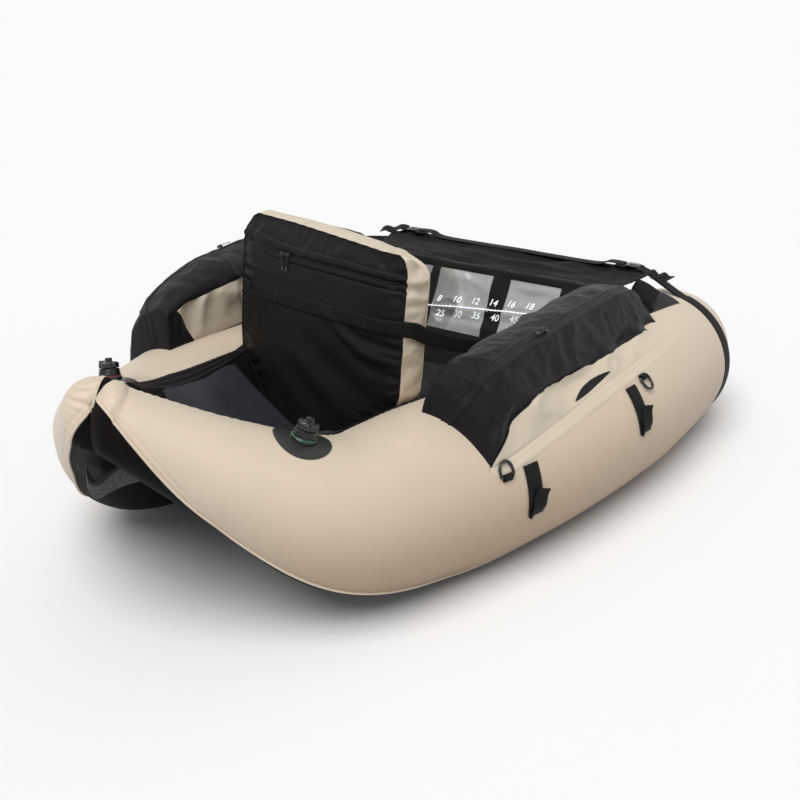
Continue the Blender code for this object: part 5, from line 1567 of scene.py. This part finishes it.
def apron_waves(x, drop, seed=0.0):
    """Creases of the window panel, which hangs a little slack between its seams."""
    spots = np.stack([x, drop, np.full_like(x, 0.3)], axis=-1)
    waves = 0.0030 * creased(spots, 9.0, 4.0 + seed, 2, (1.0, 1.2, 1.0))
    waves += 0.0018 * fuzz(spots, 18.0, 6.0 + seed, 2)
    for line, width, rise in (([(-0.10, 0.118), (0.0, 0.112), (0.09, 0.104), (0.21, 0.098)], 0.007, 0.0042),
                              ([(-0.10, 0.138), (-0.01, 0.132), (0.06, 0.135)], 0.009, -0.0040),
                              ([(0.10, 0.126), (0.17, 0.118), (0.22, 0.120)], 0.009, -0.0036),
                              ([(-0.05, 0.024), (0.02, 0.040), (0.055, 0.060)], 0.010, 0.0034),
                              ([(0.12, 0.030), (0.17, 0.036), (0.23, 0.026)], 0.009, 0.0034)):
        waves += crease(x, drop, line, width, rise)
    return waves


def window_point(x, drop, lift=0.0):
    """Points on the window panel, drop metres below its fold."""
    x, drop, lift = np.broadcast_arrays(np.asarray(x, float), np.asarray(drop, float), lift)
    hold = np.clip(np.minimum(drop + 0.01, 0.268 - drop) / 0.05, 0, 1)
    hold = hold * np.clip((APRON_HALF - np.abs(x)) / 0.03, 0, 1)
    out = apron_waves(x, drop) * hold + lift
    return FOLD + np.stack([x, np.zeros_like(x), np.zeros_like(x)], axis=-1) + drop[..., None] * DOWN \
        + out[..., None] * WINDOW_OUT


# %% Apron panel with its openings
def line_up(breaks, step):
    """Stops at about a step apart that meet each break."""
    stops = [breaks[0]]
    for start, end in zip(breaks, breaks[1:]):
        count = max(1, round((end - start) / step))
        stops += list(np.linspace(start, end, count + 1)[1:])
    return np.array(stops)


columns = line_up([-APRON_HALF, *[edge for pair in WINDOWS for edge in pair], APRON_HALF], 0.0035)
drops = line_up([0.012, *WINDOW_DROP, 0.254], 0.0035)
top_rows = curve_through(APRON_PROFILE[:6], 66)
rows = []
for y, z in top_rows:
    spots = np.stack([columns, np.full_like(columns, y), np.full_like(columns, z)], axis=1)
    hold = min(1.0, (0.603 - y) / 0.03, max((y - 0.350) / 0.03, 0.3))
    hold = hold * np.clip((APRON_HALF - np.abs(columns)) / 0.04, 0, 1)
    slack = 0.0060 * fuzz(spots, 9.0, 8.0, 2, (0.5, 1.6, 1.0))
    slack += 0.0050 * creased(spots, 8.0, 3.0, 2, (0.45, 1.8, 1.0))
    slack -= 0.0030 * (1 - (columns / APRON_HALF) ** 2)
    spots[:, 2] += slack * hold
    rows.append(spots)
upper = np.array(rows)
lower = window_point(columns[None, :], drops[:, None])
blend_rows = []
for share in np.linspace(0, 1, 9)[1:-1]:
    ease = share * share * (3 - 2 * share)
    start = upper[-1] + (upper[-1] - upper[-2]) * 2.0 * share
    finish_at = lower[0] - (lower[1] - lower[0]) * 3.0 * (1 - share)
    blend_rows.append(start * (1 - ease) + finish_at * ease)
panel_grid = np.concatenate([upper, np.array(blend_rows), lower])
start_row = len(upper) + len(blend_rows)
keep = np.ones((len(panel_grid) - 1, len(columns) - 1), dtype=bool)
for low, high in WINDOWS:
    inside = (columns[:-1] >= low - 1e-6) & (columns[1:] <= high + 1e-6)
    for index in range(len(drops) - 1):
        if drops[index] >= WINDOW_DROP[0] - 1e-6 and drops[index + 1] <= WINDOW_DROP[1] + 1e-6:
            keep[start_row + index, inside] = False
apron = surface("apron", panel_grid, apron_cloth, keep=keep, wall=0.0018, offset=0.0, sharp=80)
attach(apron, "hull")
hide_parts("apron_panel")
print("apron:", panel_grid.shape[:2], "points, of which the windows leave", int(keep.sum()), "faces")

# %% Clear windows
panes = []
for index, (low, high) in enumerate(WINDOWS):
    pane_columns = np.linspace(low - 0.008, high + 0.008, 60)
    pane_drops = np.linspace(WINDOW_DROP[0] - 0.008, WINDOW_DROP[1] + 0.008, 60)
    pane = window_point(pane_columns[None, :], pane_drops[:, None], -0.0014)
    panes.append(surface(f"pane_{index}", pane, film, sharp=80))
windows = join("clear_windows", panes)
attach(windows, "hull")
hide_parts("apron_windows")
print("windows:", len(WINDOWS))


# %% [markdown]
# ## Ruler print
# A centimetre and inch ruler is printed across the window panel, for measuring a catch. A picture would blur
# close up, so the figures are text turned into a mesh, cut finely, and laid on the creased film.

# %% Figures and lines of the print
def printed(text, size, x, drop, lean=0.28):
    """A number laid on the window panel as flat print."""
    letters = bpy.data.curves.new(f"figure_{text}", "FONT")
    letters.body = text
    letters.size = size
    letters.align_x = "CENTER"
    letters.align_y = "CENTER"
    letters.shear = lean
    letters.offset = 0.0004
    holder = bpy.data.objects.new(f"figure_{text}", letters)
    scene.collection.objects.link(holder)
    graph = bpy.context.evaluated_depsgraph_get()
    mesh = bpy.data.meshes.new_from_object(holder.evaluated_get(graph))
    cut = bmesh.new()
    cut.from_mesh(mesh)
    bmesh.ops.triangulate(cut, faces=cut.faces[:])
    bmesh.ops.subdivide_edges(cut, edges=[edge for edge in cut.edges if edge.calc_length() > 0.004], cuts=2)
    flat = np.array([vert.co for vert in cut.verts])
    laid = window_point(x + flat[:, 0], drop - flat[:, 1], 0.0012)
    for vert, spot in zip(cut.verts, laid):
        vert.co = spot
    cut.to_mesh(mesh)
    cut.free()
    mesh.materials.clear()
    mesh.materials.append(glowing_print)
    bpy.data.objects.remove(holder, do_unlink=True)
    thing = bpy.data.objects.new(f"figure_{text}", mesh)
    scene.collection.objects.link(thing)
    return thing


def printed_line(points, width):
    """A thin line of print along points of the window panel."""
    path = curve_through([(*point, 0.0) for point in points], 160)[:, :2]
    spread = np.array([-0.5, 0.0, 0.5]) * width
    rows = [window_point(np.full(3, x), drop + spread, 0.0012) for x, drop in path]
    return surface("rule", np.array(rows), glowing_print, flip=True)


# %% Ruler
RULE = ((-0.238, 0.131), (-0.091, 0.117), (-0.007, 0.107), (0.102, 0.097), (0.194, 0.0895), (0.238, 0.087))
rule_x, rule_drop = zip(*RULE)
marks = [printed_line(RULE, 0.0026)]
for index in range(9):
    x = -0.2150 + 0.0487 * index
    drop = float(np.interp(x, rule_x, rule_drop))
    marks.append(printed(str(2 * (index + 1)), 0.0225, x, drop - 0.0180))
for index in range(9):
    x = -0.2625 + 0.0507 * index
    if x > -0.24:
        drop = float(np.interp(x, rule_x, rule_drop))
        marks.append(printed(str(5 * (index + 1)), 0.0225, x, drop + 0.0180))
for index in range(47):
    x = -0.2350 + 0.01014 * index
    drop = float(np.interp(x, rule_x, rule_drop))
    tall = 0.0030 if index % 5 else 0.0052
    ends = window_point(np.array([x - 0.0005, x + 0.0005]), np.array([[drop - tall], [drop + tall]]), 0.0012)
    marks.append(surface(f"mark_{index}", ends, glowing_print, flip=True))
ruler = join("ruler_print", marks)
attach(ruler, "hull")
print("ruler:", len(marks), "marks and figures")


# %% [markdown]
# ## Wings and the long strap
# At each end the apron is sewn to a small wing on the tube, with a stiff band standing along its edge. The
# strap along the stern edge of the apron runs from buckle to buckle.

# %% Wings of the apron
WING_OUT = np.array([0.5, 0.6, 0])


def drape_on(points, out):
    """Points (x, y) laid on the right-hand tube at a height above it."""
    spots = []
    for x, y in points:
        centre, _, radius, _, _ = section_at(station_near(y))
        reach = np.clip(x - centre[0], -radius * 0.98, radius * 0.98)
        spots.append((x, y, centre[2] + math.sqrt((radius + out) ** 2 - reach * reach)))
    return np.array(spots)


for word, side in SIDES:
    near_edge = np.array([(0.352, 0.478), (0.394, 0.574)])
    far_edge = np.array([(0.437, 0.372), (0.466, 0.535)])
    rows = []
    for along in np.linspace(0, 1, 20):
        a = near_edge[0] * (1 - along) + near_edge[1] * along
        b = far_edge[0] * (1 - along) + far_edge[1] * along
        line = a + (b - a) * np.linspace(0, 1, 26)[:, None]
        rows.append(drape_on(line, 0.0016))
    sewn = surface(f"sewn_{word}", mirror(np.array(rows), side), black, flip=side < 0)
    corners = np.array([[(0.296, 0.440, 0.3690), (0.296, 0.603, 0.3775)],
                        [(0.348, 0.452, 0.3700), (0.378, 0.570, 0.3790)]])
    u, v = np.meshgrid(np.linspace(0, 1, 16), np.linspace(0, 1, 30))
    shelf = (corners[0, 0] * ((1 - u) * (1 - v))[..., None] + corners[0, 1] * ((1 - u) * v)[..., None]
             + corners[1, 0] * (u * (1 - v))[..., None] + corners[1, 1] * (u * v)[..., None])
    shelf[..., 2] += 0.004 * fuzz(shelf, 16.0, 3.0, 2) * np.minimum(1, u * 6)
    apron_level = np.interp(shelf[..., 1], top_rows[::-1, 0], top_rows[::-1, 1])
    shelf[..., 2] += (apron_level - 0.0006 - shelf[..., 2]) * (1 - u) ** 2
    shelf = surface(f"shelf_{word}", mirror(shelf, side), apron_cloth, flip=side > 0, wall=0.0018, sharp=70)
    top_line = curve_through([(0.364, 0.518, 0.378), (0.405, 0.487, 0.379), (0.444, 0.457, 0.374)], 20)
    foot_line = curve_through([(0.360, 0.487, 0.337), (0.402, 0.456, 0.342), (0.443, 0.424, 0.338)], 20)
    rows = []
    for share in np.linspace(0, 1, 16):
        bulge = WING_OUT * 0.006 * math.sin(math.pi * share)
        rows.append(top_line * (1 - share) + foot_line * share - bulge)
    holder = surface(f"wing_band_{word}", mirror(np.array(rows), side), apron_cloth, wall=0.0024, sharp=70)
    rows = np.array(rows)
    edging = np.concatenate([rows[1, 2:-2], rows[1:-2, -2]]) - WING_OUT * 0.0030
    stitch = rod(f"wing_stitch_{word}", mirror(edging, side), 0.0006, thread, sides=5)
    wing = join(f"wing_{word}", [sewn, shelf, holder, stitch])
    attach(wing, "hull")
    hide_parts(f"apron_wing_{word}")
    print(wing.name, "is sewn over the tube")

# %% Long strap
BUCKLE_Y = 0.585
TOP = 0.377 + 0.0011 + GAP
LIE = TOP + 0.0065
path = curve_through([(-0.300, 0, LIE + 0.0060), (-0.262, 0, LIE + 0.0060), (-0.225, 0, TOP + 0.0022),
                      (-0.100, 0, TOP + 0.0012), (0.0, 0, TOP + 0.0020), (0.100, 0, TOP + 0.0012),
                      (0.225, 0, TOP + 0.0022), (0.262, 0, LIE + 0.0060), (0.300, 0, LIE + 0.0060)], 160)
path[:, 1] += BUCKLE_Y
long_strap = strap("apron_strap_long", path, (0, 1.0, 0), 0.028, 0.0018, webbing)
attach(long_strap, "hull")
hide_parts("apron_strap")
print("the long strap runs", round(float(path[-1, 0] - path[0, 0]), 3), "m across")


# %% [markdown]
# ## Buckles and stern straps
# A side-release buckle is a shell with an open mouth, and a tongue whose two sprung arms click into it. Flat
# outlines are extruded and bevelled for the shell's plates and the arms, and small blocks make the rest, so
# that the tongue can really be drawn out. A strap runs from each buckle down the outside of the tube.

# %% Moulded plates
def plate(name, outline, thickness, matrix, material, bevel=0.0012):
    """A flat moulded plate with a rounded edge, from its outline."""
    shape = bmesh.new()
    foot = shape.faces.new([shape.verts.new((x, y, -thickness / 2)) for x, y in outline])
    raised = bmesh.ops.extrude_face_region(shape, geom=[foot])["geom"]
    raised = [part for part in raised if isinstance(part, bmesh.types.BMVert)]
    bmesh.ops.translate(shape, vec=(0, 0, thickness), verts=raised)
    bmesh.ops.recalc_face_normals(shape, faces=shape.faces[:])
    bmesh.ops.bevel(shape, geom=shape.edges[:], offset=bevel, segments=2, profile=0.6, affect="EDGES",
                    clamp_overlap=True)
    bmesh.ops.transform(shape, matrix=matrix, verts=shape.verts)
    return piece_of(name, shape, material, 40)


# %% Parts of a buckle
BUCKLE_PLACE = Matrix.Translation((0.306, BUCKLE_Y, LIE))
SHELL_OUTLINE = ((0.0, -0.0155), (0.0040, -0.0170), (0.0260, -0.0170), (0.0340, -0.0140), (0.0340, 0.0140),
                 (0.0260, 0.0170), (0.0040, 0.0170), (0.0, 0.0155))
ARM_OUTLINE = ((-0.0060, 0.0060), (0.0030, 0.0085), (0.0120, 0.0118), (0.0200, 0.0128), (0.0240, 0.0108),
               (0.0250, 0.0088), (0.0180, 0.0092), (0.0100, 0.0078), (0.0, 0.0046), (-0.0060, 0.0030))
# Blocks by size, place and bevel: the shell's rib, core, bar, walls and lips, and the tongue's guide,
# cross bars and rails
SHELL_BLOCKS = [((0.0200, 0.0060, 0.0016), (0.0165, 0, 0.0066), 0.0007),
                ((0.0060, 0.0250, 0.0080), (0.0290, 0, 0), 0.0012),
                ((0.0050, 0.0300, 0.0050), (0.0330, 0, 0), 0.0020)]
TONGUE_BLOCKS = [((0.0240, 0.0050, 0.0040), (0.0105, 0, 0), 0.0010)]
for x, size in ((-0.0025, 0.0050), (-0.0135, 0.0042), (-0.0238, 0.0046)):
    TONGUE_BLOCKS.append(((size, 0.0300, 0.0078), (x, 0, 0), 0.0016))
for over in (-1, 1):
    SHELL_BLOCKS.append(((0.0085, 0.0030, 0.0105), (0.0295, over * 0.0138, 0), 0.0012))
    SHELL_BLOCKS.append(((0.0060, 0.0026, 0.0105), (0.0032, over * 0.0153, 0), 0.0010))
    TONGUE_BLOCKS.append(((0.0250, 0.0046, 0.0086), (-0.0132, over * 0.0145, 0), 0.0016))


def moulded(name, rows, base):
    """The blocks of a table, each at its place on the buckle."""
    return [block(name, size, base @ Matrix.Translation(place), plastic, bevel) for size, place, bevel in rows]


print(len(SHELL_BLOCKS), "blocks make a shell, and", len(TONGUE_BLOCKS), "a tongue")


# %% Buckle shells
for word, side in SIDES:
    base = mirrored(BUCKLE_PLACE, side)
    parts = moulded(f"shell_block_{word}", SHELL_BLOCKS, base)
    for up in (0.0048, -0.0048):
        place = base @ Matrix.Translation((0, 0, up))
        parts.append(plate(f"shell_plate_{word}", SHELL_OUTLINE, 0.0030, place, plastic))
    shell = join(f"buckle_shell_{word}_look", parts)
    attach(shell, "hull")
    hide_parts(f"buckle_shell_{word}")
    print(shell.name, "is joined from", len(parts), "parts")

# %% Buckle tongues
for word, side in SIDES:
    base = mirrored(BUCKLE_PLACE, side)
    parts = moulded(f"tongue_block_{word}", TONGUE_BLOCKS, base)
    for over in (-1, 1):
        arm = [(x, over * y) for x, y in ARM_OUTLINE]
        place = base @ Matrix.Translation((0.0005, 0, 0))
        parts.append(plate(f"arm_{word}", arm, 0.0056, place, plastic, 0.0006))
    tongue = join(f"buckle_tongue_{word}_look", parts)
    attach(tongue, f"buckle_tongue_{word}")
    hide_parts(f"buckle_tongue_{word}")
    print(tongue.name, "is joined from", len(parts), "parts")

# %% Stern straps
for word, side in SIDES:
    t = station_near(BUCKLE_Y)
    down = [spot_on(t, angle, 0.0022) for angle in np.linspace(14, 146, 60)]
    first = [(0.3405, BUCKLE_Y, LIE), (0.3700, BUCKLE_Y, LIE - 0.010)]
    path = curve_through([*first, *down[::3]], 150)
    over = strap(f"over_{word}", mirror(path, side), (0, 1.0, 0), 0.035, 0.0030, webbing)
    if side > 0:
        loose = [(0.338, 0.586, LIE + 0.003), (0.356, 0.581, LIE - 0.008), (0.372, 0.576, LIE - 0.003),
                 (0.388, 0.570, LIE - 0.010), (0.404, 0.564, LIE - 0.002), (0.421, 0.558, LIE - 0.007),
                 (0.440, 0.552, LIE + 0.003)]
    else:
        loose = [(-0.338, 0.583, LIE + 0.004), (-0.356, 0.573, LIE + 0.008), (-0.372, 0.558, LIE + 0.002),
                 (-0.386, 0.542, LIE + 0.005), (-0.396, 0.528, LIE - 0.001)]
    loose = curve_through(loose, 70)
    width = np.full(70, 0.029)
    width[-12:] = np.linspace(0.029, 0.006, 12)
    end = strap(f"tail_{word}", loose, (0.15 * side, 1.0, 0.25), width, 0.0016, webbing)
    stern = join(f"stern_{word}", [over, end])
    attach(stern, "hull")
    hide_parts(f"stern_strap_{word}")
print("buckles lie", round(LIE, 4), "m above the ground")


# %% [markdown]
# ## D rings and rod straps
# Plastic rings in sewn tabs take clips and cords, and folded straps hold a rod along each tube. Each is drawn
# at a place on the skin, from which X runs down the tube's side, Y to the stern and Z outwards, so that the
# same few numbers serve all four corners.

# %% D rings and their tabs
for word, side in SIDES:
    for end, station, degrees, turn in (("bow", -0.310, 65, 180), ("stern", 0.156, 46, 0)):
        spot = skin_frame(station_through(station, degrees), degrees)
        spot = spot @ Matrix.Rotation(math.radians(turn), 4, "Z")
        base = spot @ Matrix.Translation((0, 0, 0.0045))
        loop = []
        for y in np.linspace(-0.0120, 0.0120, 12):
            loop.append((0.0, y, 0.0))
        for angle in np.linspace(math.pi / 2, -math.pi / 2, 30):
            reach = max(math.cos(angle), 0.0)
            loop.append((0.0030 + 0.0250 * reach ** 0.75, 0.0152 * math.copysign(
                abs(math.sin(angle)) ** 0.8, math.sin(angle)), 0.0))
        loop = np.array([mirrored(base, side) @ Vector(point) for point in loop])
        metal = rod(f"ring_{end}_{word}", loop, 0.0028, plastic, sides=12, closed=True, flip=side < 0)
        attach(metal, f"d_ring_{end}_{word}")
        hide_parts(f"d_ring_{end}_{word}")
        wrap = []
        for angle in np.linspace(-160, 160, 30):
            turned_by = math.radians(angle)
            wrap.append((0.0046 * math.cos(turned_by), 0.0, 0.0045 + 0.0046 * math.sin(turned_by)))
        wrap = [(-0.0080, 0.0, 0.0012)] + wrap[6:] + [(-0.0080, 0.0, 0.0030)]
        frame_here = mirrored(spot, side)
        path = np.array([frame_here @ Vector(point) for point in wrap])
        axis = np.array(frame_here.to_3x3() @ Vector((0, 1, 0)))
        tab = strap(f"tab_{end}_{word}", path, axis, 0.021, 0.0018, webbing)
        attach(tab, "hull")
        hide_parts(f"ring_tab_{end}_{word}")
        print(metal.name, "hangs in", tab.name)

# %% Rod straps
for word, side in SIDES:
    for end, station, degrees in (("bow", -0.252, 63), ("stern", 0.100, 47)):
        t = station_through(station, degrees)
        sweep = math.degrees(0.096 / section_at(t)[2])
        place = skin_frame(t, degrees)
        along = np.array(place.col[1].to_3d())
        path = []
        slip = []
        for share in np.linspace(0, 1, 30):
            path.append(spot_on(t, degrees + sweep * share, 0.0018))
            slip.append(0.0)
        for angle in np.linspace(-70, 70, 6):
            lift = 0.0036 + 0.0020 * math.sin(math.radians(angle))
            reach = 0.0018 * math.cos(math.radians(angle))
            path.append(spot_on(t, degrees + sweep * (1 + reach / 0.096), lift))
            slip.append(0.001)
        for share in np.linspace(0.97, 0.50, 24):
            rise = (0.97 - share) / 0.47
            wave = 0.0016 * math.sin(rise * 7.0)
            path.append(spot_on(t, degrees + sweep * share, 0.0056 + 0.0080 * rise ** 1.3 + wave))
            slip.append(0.001 + 0.010 * rise)
        path = np.array(path) + np.array(slip)[:, None] * along
        across = np.tile(along, (len(path), 1))
        out = np.array(place.col[2].to_3d())
        across[36:] += out * np.linspace(0, 0.45, len(path) - 36)[:, None]
        width = np.full(len(path), 0.036)
        width[30:] = np.linspace(0.033, 0.026, len(path) - 30)
        look = strap(f"rod_{end}_{word}", mirror(path, side), mirror(across, side), width, 0.0020, webbing)
        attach(look, f"rod_strap_{end}_{word}")
        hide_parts(f"rod_strap_{end}_{word}")
        print(look.name, "lies over", round(sweep, 1), "degrees of the tube")


# %% [markdown]
# ## Floor, light and camera
# The craft stands on a pale floor in even light, as in a shop picture. A broad sun from above models the
# tubes, and a faint one from the side opens the shade. The world looks white to the camera, to glossy cloth
# and through clear film, but it lights the craft with less than half of that, so that the black cloth stays
# black.

# %% Floor and world
WORLD_LIGHT = 0.40
bpy.ops.mesh.primitive_plane_add(size=200, location=(0, 0, 0))
floor = bpy.context.object
floor.name = "floor"
floor.data.materials.append(coat("floor", (0.82, 0.82, 0.82), 0.9, specular_ior_level=0.0)[0])
floor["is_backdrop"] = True

world = bpy.data.worlds.new("studio")
scene.world = world
world.use_nodes = True
air = world.node_tree
sky = air.nodes["Background"]
sky.inputs["Color"].default_value = (1.0, 1.0, 1.0, 1.0)
ray = Value(air)
camera_ray, glossy, clear = (ray.node("LightPath", out=f"Is {kind} Ray")
                             for kind in ("Camera", "Glossy", "Transmission"))
(WORLD_LIGHT + (1 - WORLD_LIGHT) * (camera_ray | glossy | clear)).feed(sky.inputs["Strength"])
print("the world lights the craft at", WORLD_LIGHT, "of white")

# %% Lamps and camera
for name, direction, energy, spread in (("key", (0.12, -0.44, 0.89), 2.66, 45.0),
                                        ("fill", (0.85, -0.20, 0.48), 0.12, 60.0)):
    lamp = bpy.data.lights.new(name, "SUN")
    lamp.energy = energy
    lamp.angle = math.radians(spread)
    holder = bpy.data.objects.new(name, lamp)
    holder.rotation_euler = Vector(direction).to_track_quat("Z", "Y").to_euler()
    scene.collection.objects.link(holder)

lens = bpy.data.cameras.new("camera")
lens.lens = 47.65
lens.sensor_width = 36.0
camera = bpy.data.objects.new("camera", lens)
camera.location = (1.265, -1.8145, 1.106)
camera.rotation_euler = (math.radians(66.83), 0.0, math.radians(34.25))
scene.collection.objects.link(camera)
scene.camera = camera
scene.view_settings.view_transform = "Standard"
print("camera at", camera.location)

# %% [markdown]
# ## Size
# The reach of the dressed craft is printed.

# %% Size
low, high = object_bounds()
print("the craft reaches from", low, "to", high)
